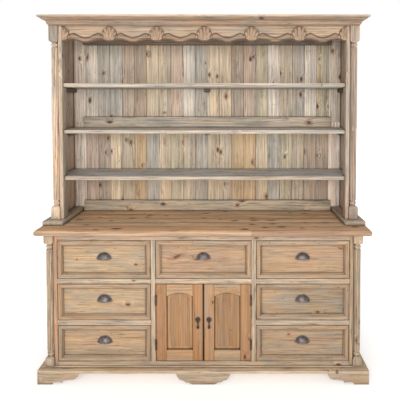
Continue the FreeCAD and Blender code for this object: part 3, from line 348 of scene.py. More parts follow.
def pine(name, knots=0.05, knot_growth=1.0, fineness=1.0, shortness=2.0, figure=1.0, stains=0.4,
         old_paint=0.0, dirt_and_shade_reach=0.02, roughness=0.6):
    """A kind of pine: how knotty, fine, short-grained, lively, stained, painted and dull it is, and how far
    its dirt and painted shade reach.
    """
    wood = Wood(name)
    core, ring, bend = scattered_knots(wood, knots, knot_growth)
    heart, halo, placed_bend = placed_knots(wood)
    aside = wood.add("CombineXYZ", {"Y": wood.math("ADD", bend, placed_bend)}).outputs[0]
    bent = wood.add("VectorMath", {0: wood.grain, 1: aside}, operation="ADD").outputs[0]
    layers = {}
    for layer, (along, across, detail, rough) in LAYERS.items():
        if layer in FINER_LAYERS:
            across *= fineness
        layers[layer] = wood.noise(bent, (along * shortness, across, across), detail, rough)

    wood.shade(wood.ramp(layers["bands"], 0.28, 0.72, 0.93, 1.08))
    wood.wash(wood.ramp(layers["washes"], 0.50, 0.68), WARM_WASH)
    wood.wash(wood.ramp(layers["washes"], 0.32, 0.48, 1.0, 0.0), COOL_WASH)
    wood.shade(wood.ramp(layers["streaks"], 0.30, 0.66, 1 - 0.26 * figure, 1 + 0.18 * figure))
    wood.cover(wood.times(wood.ramp(layers["patches"], 0.44, 0.66), wood.weather), BLEACHED)
    wood.cover(wood.times(wood.ramp(layers["flakes"], 0.58, 0.68), old_paint), OLD_PAINT)
    wood.shade(wood.ramp(layers["lines"], 0.32, 0.58, 1 - 0.28 * figure, 1 + 0.08 * figure))
    wood.wash(wood.times(wood.ramp(layers["cracks"], 0.55, 0.68), 0.85 * figure), CRACK_WASH)
    wood.wash(wood.times(wood.ramp(layers["stains"], 0.54, 0.74), stains), STAIN_WASH)
    for part, share, colour in ((ring, 0.5, KNOT_RING), (core, 0.85, KNOT_CORE),
                                (halo, 0.5, KNOT_RING), (heart, 0.85, KNOT_HEART)):
        wood.cover(wood.times(part, share), colour)

    distance, _, picked = wood.dots(*HOLE_DOTS)
    hole = wood.times(picked, wood.ramp(distance, 0.03, 0.08, 1.0, 0.0))
    wood.cover(wood.times(hole, 0.8), HOLE_COLOUR)
    # Dirt and painted shade: ambient occlusion darkens the colour in sheltered corners and recesses.
    crevice_dirt_and_shade = wood.add("AmbientOcclusion", {"Distance": dirt_and_shade_reach}, samples=6).outputs["AO"]
    wood.wash(wood.times(wood.ramp(crevice_dirt_and_shade, 0.40, 0.98, 1.0, 0.0), 0.92), DIRT_AND_SHADE_WASH)

    fibrous = wood.math("MULTIPLY_ADD", layers["streaks"], 0.8, layers["fibres"])
    relief = wood.math("MULTIPLY_ADD", layers["lines"], 1.2, fibrous)
    relief = wood.math("SUBTRACT", relief, wood.math("MULTIPLY_ADD", hole, 2.0, core))
    wood.surface({"Base Color": wood.colour, "Specular IOR Level": 0.3,
                  "Roughness": wood.math("MULTIPLY_ADD", layers["lines"], 0.16, roughness - 0.08),
                  "Normal": wood.bump(relief, 0.45, 0.0012)})
    return wood.material


finishes = {
    "pine": pine("aged_pine", shortness=3.5, figure=0.8, old_paint=0.35),
    "frame_pine": pine("frame_pine", shortness=3.0, stains=0.5, old_paint=0.3, dirt_and_shade_reach=0.007),
    "pine_door": pine("orange_pine", knots=0.04, figure=0.65, stains=0.5, old_paint=0.1, dirt_and_shade_reach=0.011,
                      roughness=0.55),
    "counter": pine("countertop_pine", knots=0.25, knot_growth=1.7, fineness=0.8, stains=0.3, old_paint=0.35),
    "pine_grey": pine("weathered_pine", knots=0.06, stains=0.6, dirt_and_shade_reach=0.014, roughness=0.68),
    "pine_planks": pine("mixed_boards", knots=0.13, knot_growth=1.15, fineness=1.5, stains=1.0,
                        old_paint=0.12, dirt_and_shade_reach=0.012, roughness=0.7),
    "carving": pine("carved_pine", knots=0.0, stains=0.2, dirt_and_shade_reach=0.008),
    "pine_inside": pine("sawn_pine", stains=0.2, dirt_and_shade_reach=0.014, roughness=0.72)}
print("pine finishes:", ", ".join(finishes))

# %% [markdown]
# The cup pulls, hinges and drops are cast metal that has gone dark and dull, with brighter rubbed places.
# A slow noise moves the colour between the two and a fine one pits the surface.

# %% Dark metal
CLOUD_WAVES = (60.0, 60.0, 60.0)
PIT_WAVES = (900.0, 900.0, 900.0)


def dark_metal(name, dark, rubbed):
    finish = Finish(name)
    place = finish.add("TexCoord").outputs["Object"]
    cloud = finish.noise(place, CLOUD_WAVES, 3.0)
    pits = finish.noise(place, PIT_WAVES, 2.0)
    finish.surface({"Base Color": finish.mix(finish.ramp(cloud, 0.3, 0.7), dark, rubbed), "Metallic": 0.85,
                    "Roughness": finish.math("MULTIPLY_ADD", cloud, 0.2, 0.38),
                    "Normal": finish.bump(pits, 0.3, 0.0004)})
    return finish.material


finishes["iron"] = dark_metal("pewter_iron", paint(92, 85, 83, 1.0), paint(128, 119, 115, 1.0))
finishes["door_iron"] = dark_metal("black_iron", paint(52, 48, 48, 1.0), paint(92, 86, 84, 1.0))
print("metal finishes:", finishes["iron"].name, finishes["door_iron"].name)

# %% [markdown]
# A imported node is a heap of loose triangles, and one node can hold many boards. To give each board its
# own grain, the triangles are sorted first. Two triangles belong to one board where they share an edge
# and close off the same wood. Where two boards touch, four triangles can meet on one edge. Each is then
# paired with one that runs along the edge the other way, the one that is met first when turning through
# the wood behind it.

# %% Sort a node into boards
TOUCH = 0.00002
SLIVER = math.radians(3)
FLAT = math.radians(0.5)


def wood_turn(face, other, edge_line):
    """The angle through the wood behind a triangle until another one on the same edge is met."""
    start, along = edge_line
    reach = face.calc_center_median() - start
    inward = (reach - along * reach.dot(along)).normalized()
    reach = other.calc_center_median() - start
    other_inward = (reach - along * reach.dot(along)).normalized()
    angle = math.atan2(-other_inward.dot(face.normal), other_inward.dot(inward)) % (2 * math.pi)
    return angle if angle > SLIVER else 2 * math.pi


def add_layers(mesh):
    """Makes room on every corner for what the wood finish reads."""
    mesh.verts.layers.float_vector.new("grain")
    mesh.verts.layers.float_vector.new("knot")
    mesh.verts.layers.float_color.new("tone")


def edge_uses(mesh):
    """Each edge as its two ends, then the triangles on it and whether they run along it forward."""
    twins = bmesh.ops.find_doubles(mesh, verts=mesh.verts, dist=TOUCH)["targetmap"]
    around = {}
    for face in mesh.faces:
        corners = [twins.get(vert, vert) for vert in face.verts]
        for first, second in zip(corners, corners[1:] + corners[:1]):
            forward = first.index < second.index
            low, high = (first, second) if forward else (second, first)
            around.setdefault((low.index, high.index), [low.co, high.co]).append((face, forward))
    return around.values()


def boards(node):
    """A copy of a node's mesh in which each board is merged by itself."""
    mesh = bmesh.new()
    mesh.from_mesh(nodes[node].data)
    bmesh.ops.split_edges(mesh, edges=mesh.edges)
    add_layers(mesh)
    mesh.verts.index_update()
    mesh.faces.index_update()
    mesh.normal_update()
    leader = {face.index: face.index for face in mesh.faces}

    def lead(index):
        while leader[index] != index:
            leader[index] = leader[leader[index]]
            index = leader[index]
        return index

    for low, high, *uses in edge_uses(mesh):
        edge_line = (low, (high - low).normalized())
        for face, forward in uses:
            others = [other for other, way in uses if way != forward]
            if others:
                partner = min(others, key=lambda other: wood_turn(face, other, edge_line))
                leader[lead(face.index)] = lead(partner.index)
    groups = {}
    for face in mesh.faces:
        groups.setdefault(lead(face.index), {}).update(dict.fromkeys(face.verts))
    for corners in groups.values():
        bmesh.ops.remove_doubles(mesh, verts=list(corners), dist=TOUCH)
    bmesh.ops.dissolve_limit(mesh, angle_limit=FLAT, verts=mesh.verts, edges=mesh.edges)
    return mesh


def islands(mesh):
    """The boards of a mesh, each as the list of its corners."""
    for vert in mesh.verts:
        vert.tag = False
    found = []
    for vert in mesh.verts:
        if vert.tag:
            continue
        vert.tag = True
        island = [vert]
        for corner in island:
            for edge in corner.link_edges:
                other = edge.other_vert(corner)
                if not other.tag:
                    other.tag = True
                    island.append(other)
        found.append(island)
    return found


sample = boards("drawer_centre_front")
print("the centre drawer front has", len(islands(sample)), "boards")

# %% [markdown]
# Old furniture has no sharp edges: hands, cloths and sandpaper round them all. A narrow bevel on every
# edge that turns catches the light as the real wear does. The operator narrows the bevel where an edge is
# short, so small mouldings keep their shape.

# %% Worn edges
WEAR = 0.0012
SHARP = math.radians(25)


def wear_edges(mesh, width=WEAR, pick=None):
    """Rounds every sharp edge, or only those that are picked."""
    edges = [edge for edge in mesh.edges if len(edge.link_faces) == 2 and edge.calc_face_angle() > SHARP
             and (pick is None or pick(edge))]
    bmesh.ops.bevel(mesh, geom=edges, offset=width, offset_type="OFFSET", segments=2, profile=0.5,
                    affect="EDGES", material=-1, clamp_overlap=True)


sharp_faces = len(sample.faces)
wear_edges(sample)
print("its worn edges bring it from", sharp_faces, "to", len(sample.faces), "faces")
sample.free()

# %% [markdown]
# The boards of such a dresser come from many old floors and doors, so each kind of piece has a few tones
# to choose from. The doors are warm, the shelves and rails greyed, the planks mixed, and what nobody sees
# is plain sawn wood.

# %% Tones
HONEY = paint(177, 148, 115, 0.4)
STRAW = paint(177, 151, 119, 0.4)
TAN = paint(168, 141, 112, 0.45)
ORANGE = paint(166, 123, 84, 0.12)
SALMON = paint(180, 138, 107, 0.4)
BEIGE = paint(206, 188, 164, 0.4)
GREY = paint(194, 185, 172, 0.6)
UMBER = paint(188, 169, 149, 0.5)
WHITEWASH = paint(226, 215, 200, 0.4)
CHALK_AND_CORNER_LIGHT = paint(250, 236, 222, 0.2)
ROSE = paint(212, 188, 168, 0.4)
OLIVE = paint(206, 192, 164, 0.5)
CREAM = paint(218, 198, 170, 0.3)
SAWN = paint(206, 178, 142, 0.2)
TONES = {"pine": (HONEY, HONEY, STRAW, TAN), "pine_door": (ORANGE,), "pine_grey": (GREY, BEIGE),
         "pine_planks": (GREY, UMBER, WHITEWASH, ROSE, OLIVE, CREAM), "pine_inside": (SAWN, STRAW),
         "iron": (GREY,)}
print(len(TONES), "sets of tones")

# %% [markdown]
# Some knots catch the eye on the photograph, such as the long leaning one on the centre drawer. Each is
# written as its place, half its length along the grain, half its width and its lean in degrees. Every
# corner of the board then learns how many knot sizes away it is, and Blender blends that over the faces
# between the corners.

# %% Knots listed one by one
FAR = Vector((9, 9, 9))
KNOTS = {
    "drawer_centre_front": [((-0.159, -0.215, 0.757), 0.042, 0.012, 24)],
    "drawer_left_top_front": [((-0.763, -0.215, 0.740), 0.007, 0.005, 0)],
    "drawer_right_top_front": [((0.827, -0.215, 0.807), 0.015, 0.006, 0)],
    "drawer_right_bottom_front": [((0.516, -0.215, 0.280), 0.011, 0.007, 0)],
    "face_frame": [((-0.420, -0.225, 0.614), 0.010, 0.006, 0)],
    "countertop": [((-0.724, -0.147, 0.932), 0.016, 0.012, 10), ((-0.601, -0.037, 0.932), 0.014, 0.012, 0),
                   ((-0.005, 0.162, 0.932), 0.020, 0.014, 0), ((0.593, -0.217, 0.932), 0.012, 0.010, 0)],
    "hutch_back_rails": [((0.704, 0.240, 1.549), 0.022, 0.016, 0), ((0.211, 0.240, 0.973), 0.014, 0.012, 30)],
    "hutch_back_planks": [
        ((0.412, 0.258, 1.031), 0.020, 0.014, 0), ((0.319, 0.258, 2.003), 0.011, 0.008, 0),
        ((0.869, 0.258, 2.043), 0.016, 0.010, 0), ((0.131, 0.258, 1.731), 0.020, 0.012, 0),
        ((-0.300, 0.258, 1.618), 0.010, 0.008, 0), ((-0.718, 0.258, 1.892), 0.014, 0.011, 0),
        ((-0.533, 0.258, 1.409), 0.016, 0.011, 0), ((-0.752, 0.258, 1.110), 0.016, 0.013, 0),
        ((-0.830, 0.258, 1.999), 0.024, 0.010, 12)]}


def knot_on(name, low, high):
    """The placed knot that lies on a board, if there is one."""
    for knot in KNOTS.get(name, ()):
        if all(low[axis] - WEAR < knot[0][axis] < high[axis] + WEAR for axis in range(3)):
            return knot
    return None


def knot_sizes_away(place, knot, order):
    """How many knot sizes a place is away from a knot, along the grain and across it."""
    centre, half_length, half_width, lean = knot
    along, across = [place[axis] - centre[axis] for axis in order[:2]]
    turn = math.radians(lean)
    return Vector(((along * math.cos(turn) + across * math.sin(turn)) / half_length,
                   (across * math.cos(turn) - along * math.sin(turn)) / half_width, 0))


print(sum(len(placed) for placed in KNOTS.values()), "knots placed by hand")

# %% [markdown]
# Each board gets its grain, along its longest side unless the maker laid it otherwise, and its tone. A
# tone is asked for at every corner of a board, so a board may change colour from one end to the other, or
# from its face to its edge, without a second material. The dice start from the node's name, so every run
# throws the same.

# %% Grain and tone
GRAIN_STARTS = 40
LIGHTNESS = (0.93, 1.06)


def lay_grain(mesh, seed, tones, along=None, choose=None):
    """Gives each board its grain, by its longest side or the given axis, and its tone."""
    dice = random.Random(seed)
    grain = mesh.verts.layers.float_vector["grain"]
    knot = mesh.verts.layers.float_vector["knot"]
    tone = mesh.verts.layers.float_color["tone"]
    for island in islands(mesh):
        low = Vector([min(vert.co[axis] for vert in island) for axis in range(3)])
        high = Vector([max(vert.co[axis] for vert in island) for axis in range(3)])
        order = sorted(range(3), key=lambda axis: low[axis] - high[axis])
        if along is not None:
            order = [along] + [axis for axis in order if axis != along]
        start = Vector([dice.uniform(0, GRAIN_STARTS) for axis in range(3)])
        own = dice.choice(tones)
        light = dice.uniform(*LIGHTNESS)
        placed = knot_on(seed, low, high)
        for vert in island:
            colour = choose((low + high) / 2, high - low, vert.co) if choose else None
            colour = colour or own
            vert[grain] = start + Vector([vert.co[axis] for axis in order])
            vert[knot] = knot_sizes_away(vert.co, placed, order) if placed else FAR
            vert[tone] = (colour[0] * light, colour[1] * light, colour[2] * light, colour[3])


print("boards of one tone differ in light by", round(LIGHTNESS[1] / LIGHTNESS[0] - 1, 2))

# %% [markdown]
# A finished mesh becomes an object that rides on its node's body and stands for the node. Faces with up
# to four corners are shaded smooth up to a sharp angle, so that turned and rounded pieces look round, and
# the large flat ones stay flat. One function then goes the whole way from a node to a piece.

# %% From a node to a piece
SMOOTH_UP_TO = math.radians(32)


def hang(mesh, node, finish=None):
    """Makes the finished mesh an object that stands for a node and rides on its body."""
    data = bpy.data.meshes.new(node + "_piece")
    mesh.to_mesh(data)
    mesh.free()
    data.polygons.foreach_set("use_smooth", [True] * len(data.polygons))
    data.set_sharp_from_angle(angle=SMOOTH_UP_TO)
    data.polygons.foreach_set("use_smooth", [len(face.vertices) <= 4 for face in data.polygons])
    data.materials.append(finishes[finish or slot_of[node]])
    piece = bpy.data.objects.new(data.name, data)
    bpy.context.collection.objects.link(piece)
    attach(piece, body_of[node])
    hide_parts(node)
    print(node, len(data.polygons), "faces")


def dress(node, along=None, choose=None, width=WEAR, pick=None, prepare=None, tones=None, finish=None):
    """The whole way from a node to a finished piece."""
    mesh = boards(node)
    if prepare:
        prepare(mesh)
    wear_edges(mesh, width, pick)
    lay_grain(mesh, node, tones or TONES[slot_of[node]], along, choose)
    hang(mesh, node, finish)


print("faces shade smooth up to", round(math.degrees(SMOOTH_UP_TO)), "degrees")

# %% [markdown]
# Wide panels are glued up from several boards. A saw cut splits a mesh by a plane and closes both halves
# again, so each board of the countertop and of the side panels gets its own grain and its own worn edge
# beside the seam. A scored line cuts nothing apart: it only adds corners, so that a tone can change
# there.

# %% Saw a panel into boards
AXES = {"X": 0, "Y": 1, "Z": 2}
SEAM_WEAR = 0.0008


def split(mesh, place, normal, **sides):
    """Cuts every face of a mesh by a plane, and clears the side that is named."""
    return bmesh.ops.bisect_plane(mesh, geom=mesh.verts[:] + mesh.edges[:] + mesh.faces[:], plane_co=place,
                                  plane_no=normal, **sides)


def cut_off(mesh, place, normal, side):
    """Cuts one side of a mesh off and closes the rest again."""
    cut = split(mesh, place, normal, **{side: True})
    rim = [part for part in cut["geom_cut"] if isinstance(part, bmesh.types.BMEdge)]
    bmesh.ops.holes_fill(mesh, edges=rim, sides=0)


def pour(source, target):
    """Adds a mesh to another one and frees it."""
    data = bpy.data.meshes.new("poured")
    source.to_mesh(data)
    source.free()
    target.from_mesh(data)
    bpy.data.meshes.remove(data)


def saw(mesh, axis, cuts):
    """Cuts a mesh into closed boards at places along an axis."""
    normal = Vector([float(AXES[axis] == number) for number in range(3)])
    whole = bpy.data.meshes.new("uncut")
    mesh.to_mesh(whole)
    mesh.clear()
    for low, high in zip([None] + list(cuts), list(cuts) + [None]):
        board = bmesh.new()
        board.from_mesh(whole)
        for place, side in ((low, "clear_inner"), (high, "clear_outer")):
            if place is not None:
                cut_off(board, normal * place, normal, side)
        pour(board, mesh)
    bpy.data.meshes.remove(whole)
    mesh.normal_update()


def score(mesh, places):
    """Adds a line of corners at each of some places along X, so that a tone can change there."""
    for place in places:
        split(mesh, (place, 0, 0), (1, 0, 0))


counter_low, counter_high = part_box("countertop")
print("countertop", [round(value, 3) for value in counter_high - counter_low], "m")

# %% [markdown]
# The countertop is glued up from five boards. Its top has gone brown, and its rounded nose is paler above,
# where hands rub it, and painted darker below, painted shade where the nose turns down. To the right of a
# joint the nose is darker and redder.

# %% Countertop
COUNTER_SHARES = (0.2, 0.37, 0.58, 0.77)
COUNTER_TOP = paint(218, 182, 144, 0.3)
COUNTER_TOP_WARM = paint(224, 182, 140, 0.2)
NOSE_JOINT = 0.28
NOSE_BLEND = 0.01
NOSE_LEFT = (paint(190, 156, 124, 0.0), paint(176, 147, 119, 0.0))
NOSE_RIGHT = (paint(168, 135, 108, 0.0), paint(156, 121, 97, 0.0))
counter_cuts = [counter_low.y + share * (counter_high.y - counter_low.y) for share in COUNTER_SHARES]
nose_middle = (counter_low.z + counter_high.z) / 2


def counter_tone(centre, extent, place):
    if place.z > counter_high.z - TOUCH:
        return None
    # The lower half of the nose gets a darker tone: painted shade where the nose turns down.
    upper, lower = NOSE_LEFT if place.x < NOSE_JOINT + NOSE_BLEND / 2 else NOSE_RIGHT
    return upper if place.z > nose_middle else lower


def counter_boards(mesh):
    saw(mesh, "Y", counter_cuts)
    score(mesh, (NOSE_JOINT, NOSE_JOINT + NOSE_BLEND))


dress("countertop", choose=counter_tone, width=SEAM_WEAR, tones=(COUNTER_TOP, COUNTER_TOP_WARM),
      prepare=counter_boards, finish="counter")

# %% [markdown]
# The side panels are three upright boards each. Inside the hutch they have stayed in the shade and are
# browner than outside, so the corners on the inner face get a darker tone.

# %% Side panels
SIDE_SHARES = (0.3, 0.66)
PANEL_INSIDE = paint(192, 170, 150, 0.3)


def side_tone(centre, extent, place):
    return PANEL_INSIDE if abs(place.x) < abs(centre.x) - extent.x / 4 else None


for name in ("base_sides", "hutch_sides"):
    low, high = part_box(name)
    side_cuts = [low.y + share * (high.y - low.y) for share in SIDE_SHARES]
    dress(name, along=AXES["Z"], choose=side_tone, width=SEAM_WEAR,
          prepare=lambda mesh: saw(mesh, "Y", side_cuts))

# %% [markdown]
# The planked backs are the liveliest surface: every plank came from another old board, so their colours
# go from whitewash through grey to honey. The end plank of each row is whitewash painted paler still, as
# painted light in the shaded corner. The hutch has two lengths of planks that meet behind its middle
# rail, and a letter for each plank names its tone, from left to right.

# %% Planked backs
PLANK_COUNT = 22
PLANK_WEAR = 0.0006
PLANK_TONES = {"w": WHITEWASH, "g": GREY, "u": UMBER, "r": ROSE, "o": OLIVE, "c": CREAM, "h": SAWN,
               "b": BEIGE, "C": CHALK_AND_CORNER_LIGHT}
# C, the end plank of each row, is whitewash painted paler still: painted light in the shaded corner.
UPPER_PLANKS = "Cwgguucbrwgccurowbgwow"
LOWER_PLANKS = "CrucbhgcobgcbhhcgobuuC"
planks_low, planks_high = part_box("hutch_back_planks")
plank_width = (planks_high.x - planks_low.x) / PLANK_COUNT
plank_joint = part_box("shelf_middle")[1].z


def plank_tone(centre, extent, place):
    number = int((centre.x - planks_low.x) / plank_width)
    letters = UPPER_PLANKS if centre.z > plank_joint + extent.z / 2 else LOWER_PLANKS
    return PLANK_TONES[letters[number]]


dress("hutch_back_planks", along=AXES["Z"], choose=plank_tone, width=PLANK_WEAR)
dress("base_back_planks", along=AXES["Z"], width=PLANK_WEAR)

# %% [markdown]
# The hutch's shelves are grey on top, where nobody sands, and pale along the front edge, which every hand
# touches. The posts are pale in front and grey on their inner sides. Both come from asking where a corner
# of the board is. Of the rails across the back, the top one is painted darkest, a painted shadow under the
# valance, and the supports under the shelves are painted dark too, as shade under the shelves.

# %% Hutch boards
POST_LEFT = paint(188, 166, 142, 0.4)
POST_RIGHT = paint(176, 158, 139, 0.4)
POST_SIDE = paint(172, 158, 142, 0.6)
SHELF_EDGE = paint(182, 167, 149, 0.3)
SHELF_TOP = paint(200, 197, 193, 0.7)
SLED = paint(182, 167, 148, 0.5)
# The top rail is painted dark: a painted shadow under the valance.
TOP_RAIL_SHADOW = paint(140, 125, 109, 0.5)
MIDDLE_RAIL = paint(196, 183, 165, 0.6)
LOW_RAIL = paint(200, 182, 156, 0.5)
# The supports are painted dark: painted shade under the shelves.
SUPPORT_SHADOW = paint(112, 97, 82, 0.3)
post_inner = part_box("valance")[1].x
valance_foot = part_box("valance")[0].z


def post_tone(centre, extent, place):
    if abs(place.x) < post_inner + WEAR / 2:
        return POST_SIDE
    return POST_LEFT if centre.x < 0 else POST_RIGHT


def rail_tone(centre, extent, place):
    if centre.z < plank_joint:
        return LOW_RAIL
    return TOP_RAIL_SHADOW if centre.z > valance_foot else MIDDLE_RAIL


def shelf_tone(centre, extent, place):
    return SHELF_EDGE if place.y < centre.y - (extent.y - WEAR) / 2 else SHELF_TOP


dress("hutch_posts", choose=post_tone, finish="frame_pine")
for name in ("shelf_lower", "shelf_middle", "shelf_upper"):
    dress(name, choose=shelf_tone)
dress("hutch_sleds", tones=(SLED,))
dress("hutch_back_rails", choose=rail_tone, finish="pine_planks")
dress("shelf_supports", tones=(SUPPORT_SHADOW,))
dress("hutch_roof")

# %% [markdown]
# The columns are turned between two square ends and reeded. A bevel over every reed would fill the
# grooves, so only the edges of the square ends are worn. The left column of the hutch has bleached the
# most, and its top block has gone grey.

# %% Columns
BLOCK_WEAR = 0.002
BLOCK_SHARE = 0.9
TOP_BLOCK_FOOT = 2.055
TOP_BLOCK = paint(150, 134, 119, 0.7)
COLUMN_TONES = {"hutch_columns": (paint(216, 191, 164, 0.3), paint(174, 153, 136, 0.4)),
                "base_columns": (paint(188, 165, 137, 0.4), paint(178, 156, 130, 0.4))}


def dress_columns(name, left_tone, right_tone):
    low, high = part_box(name)
    axis_y = (low.y + high.y) / 2
    block_half = (high.y - low.y) / 2

    def on_block(edge):
        outside = [abs(vert.co.y - axis_y) > BLOCK_SHARE * block_half for vert in edge.verts]
        return edge.is_convex and all(outside)

    def column_tone(centre, extent, place):
        if centre.x > 0:
            return right_tone
        return TOP_BLOCK if place.z > TOP_BLOCK_FOOT else left_tone

    dress(name, along=AXES["Z"], choose=column_tone, pick=on_block, width=BLOCK_WEAR, finish="frame_pine")


for name, (left_tone, right_tone) in COLUMN_TONES.items():
    dress_columns(name, left_tone, right_tone)

# %% [markdown]
# Cornice, plinth and feet are mouldings and brackets that the frame already shapes, so they only need
# their wear and their tones. The cornice is the browner wood, paler along its top edge. The plinth's top
# is painted almost white, painted light on a top that the low lamps only graze.

# %% Cornice, plinth and feet
CORNICE = paint(147, 123, 101, 0.4)
CORNICE_EDGE = paint(186, 160, 134, 0.3)
CORNICE_EDGE_HEIGHT = 0.012
FOOT = paint(177, 154, 127, 0.5)
PLINTH = paint(200, 174, 143, 0.3)
# Painted light: the plinth's top, which the low lamps only graze, is painted almost white.
PLINTH_TOP_LIGHT = paint(255, 234, 204, 0.0)
cornice_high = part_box("cornice")[1]
plinth_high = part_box("plinth")[1]


def cornice_tone(centre, extent, place):
    return CORNICE_EDGE if place.z > cornice_high.z - CORNICE_EDGE_HEIGHT else CORNICE


def plinth_tone(centre, extent, place):
    return PLINTH_TOP_LIGHT if place.z > plinth_high.z - TOUCH else PLINTH


dress("cornice", choose=cornice_tone)
dress("plinth", choose=plinth_tone, finish="frame_pine")
for name in ("foot_left", "foot_right", "foot_centre", "feet_rear"):
    dress(name, tones=(FOOT,))

# %% [markdown]
# The valance is the carver's work. The frame has its scalloped edge, its leaf ribbon as a low step and
# its shells as higher ones. A carver then cuts dark lines along the ribbon. Insetting the ribbon's faces
# again and again gives these lines, with some rings lifted or sunk. The corners in the cuts get a dark
# tone, painted shadow together with the old wax that stays in them, and the ground of the shells, which
# shows between the petals, gets painted shade.

# %% Carved valance
VALANCE = paint(170, 146, 121, 0.4)
RIBBON = paint(146, 119, 95, 0.3)
# The shell ground and the cuts are painted dark: painted shade between the petals, painted shadow and old wax
# in the cuts.
SHELL_GROUND_SHADE = paint(120, 95, 75, 0.1)
CUT_SHADOW_AND_WAX = paint(44, 31, 24, 0.0)
FACES_FRONT = -0.99
RIBBON_LEAST = 0.001
RIBBON_RINGS = ((True, 0.0014, 0.0), (True, 0.002, 0.0025), (False, 0.0016, 0.0), (False, 0.0009, -0.003),
                (True, 0.0011, 0.003))  # whether a ring is dark, its width and how far it rises


def level_of(face):
    return round(face.calc_center_median().y, 3)


carved = boards("valance")
valance_low, valance_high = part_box("valance")
front_faces = [face for face in carved.faces if face.normal.y < FACES_FRONT]
levels = sorted({level_of(face) for face in front_faces})
print("levels of the carving, from the front:", levels)
shell_level, flute_level, ribbon_level, board_level = levels[:4]
ribbons = [face for face in front_faces if level_of(face) == ribbon_level]
shells = [face for face in front_faces if level_of(face) in (shell_level, flute_level)]
shaded_grounds = {vert for face in shells for vert in face.verts}
shadowed_cuts = set()
for dark, width, rise in RIBBON_RINGS:
    ring = bmesh.ops.inset_region(carved, faces=ribbons, thickness=width, use_even_offset=True,
                                  use_boundary=True)["faces"]
    inner = {vert for face in ribbons for vert in face.verts}
    if dark:
        shadowed_cuts |= {vert for face in ring for vert in face.verts} - inner
    bmesh.ops.translate(carved, verts=list(inner), vec=(0, -rise, 0))
lay_grain(carved, "valance", (VALANCE,))
tone = carved.verts.layers.float_color["tone"]
# Painted shadow and old wax in the cuts, painted shade on the shell ground between the petals.
for vert in carved.verts:
    if vert in shadowed_cuts:
        vert[tone] = CUT_SHADOW_AND_WAX
    elif vert in shaded_grounds:
        vert[tone] = SHELL_GROUND_SHADE
    elif vert.co.y < board_level - RIBBON_LEAST:
        vert[tone] = RIBBON
print(len(ribbons), "ribbon faces,", len(shells), "shell faces,", len(shadowed_cuts), "corners in the cuts")

# %% [markdown]
# A shell is a fan of seven petals with a small curl on both sides. A petal is a ball, stretched, slimmed
# at its foot and turned about the foot of the shell, which gives the round tops and the dark grooves
# between them. The shells stand between the bays, and the two at the ends are halved where the valance
# meets the posts.

# %% Petals
PETAL = paint(160, 132, 106, 0.3)
BAY_COUNT = 6
PETAL_COUNT = 7
FAN = math.radians(60)
SHELL_DIAMETER = 0.084
SHELL_FOOT = 0.014
PETAL_HALF = Vector((0.0098, 0.005))
PETAL_TAPER = (0.62, 0.86)
NO_TAPER = (1.0, 0.0)
CURL = 0.0095
CURL_HALF = Vector((0.8 * CURL, 0.006))
CURL_REACH = 0.045
CURL_DEPTH = 0.002
CURL_RISE = 0.011


def petal(mesh, foot, turn, length, half, taper):
    """A stretched ball, slimmer at its foot, that stands on a place and leans by a turn."""
    corners = bmesh.ops.create_icosphere(mesh, subdivisions=3, radius=1.0)["verts"]
    for corner in corners:
        corner.co.x *= taper[0] + taper[1] * (corner.co.z + 1) / 2
    bmesh.ops.scale(mesh, verts=corners, vec=(half.x, half.y, length / 2))
    bmesh.ops.translate(mesh, verts=corners, vec=(0, 0, length / 2))
    bmesh.ops.rotate(mesh, verts=corners, cent=(0, 0, 0), matrix=Matrix.Rotation(turn, 3, "Y"))
    bmesh.ops.translate(mesh, verts=corners, vec=foot)


fans = bmesh.new()
add_layers(fans)
for bay in range(BAY_COUNT + 1):
    middle = valance_low.x + bay * (valance_high.x - valance_low.x) / BAY_COUNT
    foot = Vector((middle, shell_level, valance_low.z + SHELL_FOOT))
    for number in range(PETAL_COUNT):
        turn = FAN * (2 * number / (PETAL_COUNT - 1) - 1)
        petal(fans, foot, turn, SHELL_DIAMETER * math.cos(turn), PETAL_HALF, PETAL_TAPER)
    for side in (-1, 1):
        curl_foot = foot + Vector((side * CURL_REACH, CURL_DEPTH, CURL_RISE))
        petal(fans, curl_foot, 0, 2 * CURL, CURL_HALF, NO_TAPER)
for place, normal in ((valance_low, (-1, 0, 0)), (valance_high, (1, 0, 0))):
    cut_off(fans, place, normal, "clear_outer")
lay_grain(fans, "petals", (PETAL,), along=AXES["Z"])
pour(fans, carved)
hang(carved, "valance", finish="carving")

# %% [markdown]
# The frame of the base is pale and greyish, with a browner top rail. Its left post still shows the salmon
# paint of its former life beside the column. What lies behind the drawers is plain sawn wood.

# %% Base frame
FRAME = paint(184, 162, 136, 0.55)
FRAME_TOP = paint(171, 148, 124, 0.35)
TOP_RAIL_REACH = 0.03
frame_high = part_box("face_frame")[1]


def base_post_tone(centre, extent, place):
    return SALMON if place.x < 0 else TAN


def frame_tone(centre, extent, place):
    return FRAME_TOP if centre.z > frame_high.z - TOP_RAIL_REACH else FRAME


dress("base_posts", choose=base_post_tone, finish="frame_pine")
dress("face_frame", choose=frame_tone, finish="frame_pine")
for name in ("partitions", "base_floor", "drawer_bearers", "cupboard_shelf"):
    dress(name)

# %% [markdown]
# A drawer front is a board with four strips round it, and the strips slope down to the board. The slopes
# are painted darker than the faces, the top one more than the low one and the side ones most: painted
# shade in the recess round the board. The boards differ a little in colour, and the right middle one is
# grey at its right end, where it once lay outdoors.

# %% Drawers
STRIP = paint(168, 142, 114, 0.4)
SIDE_STRIP = paint(162, 135, 106, 0.4)
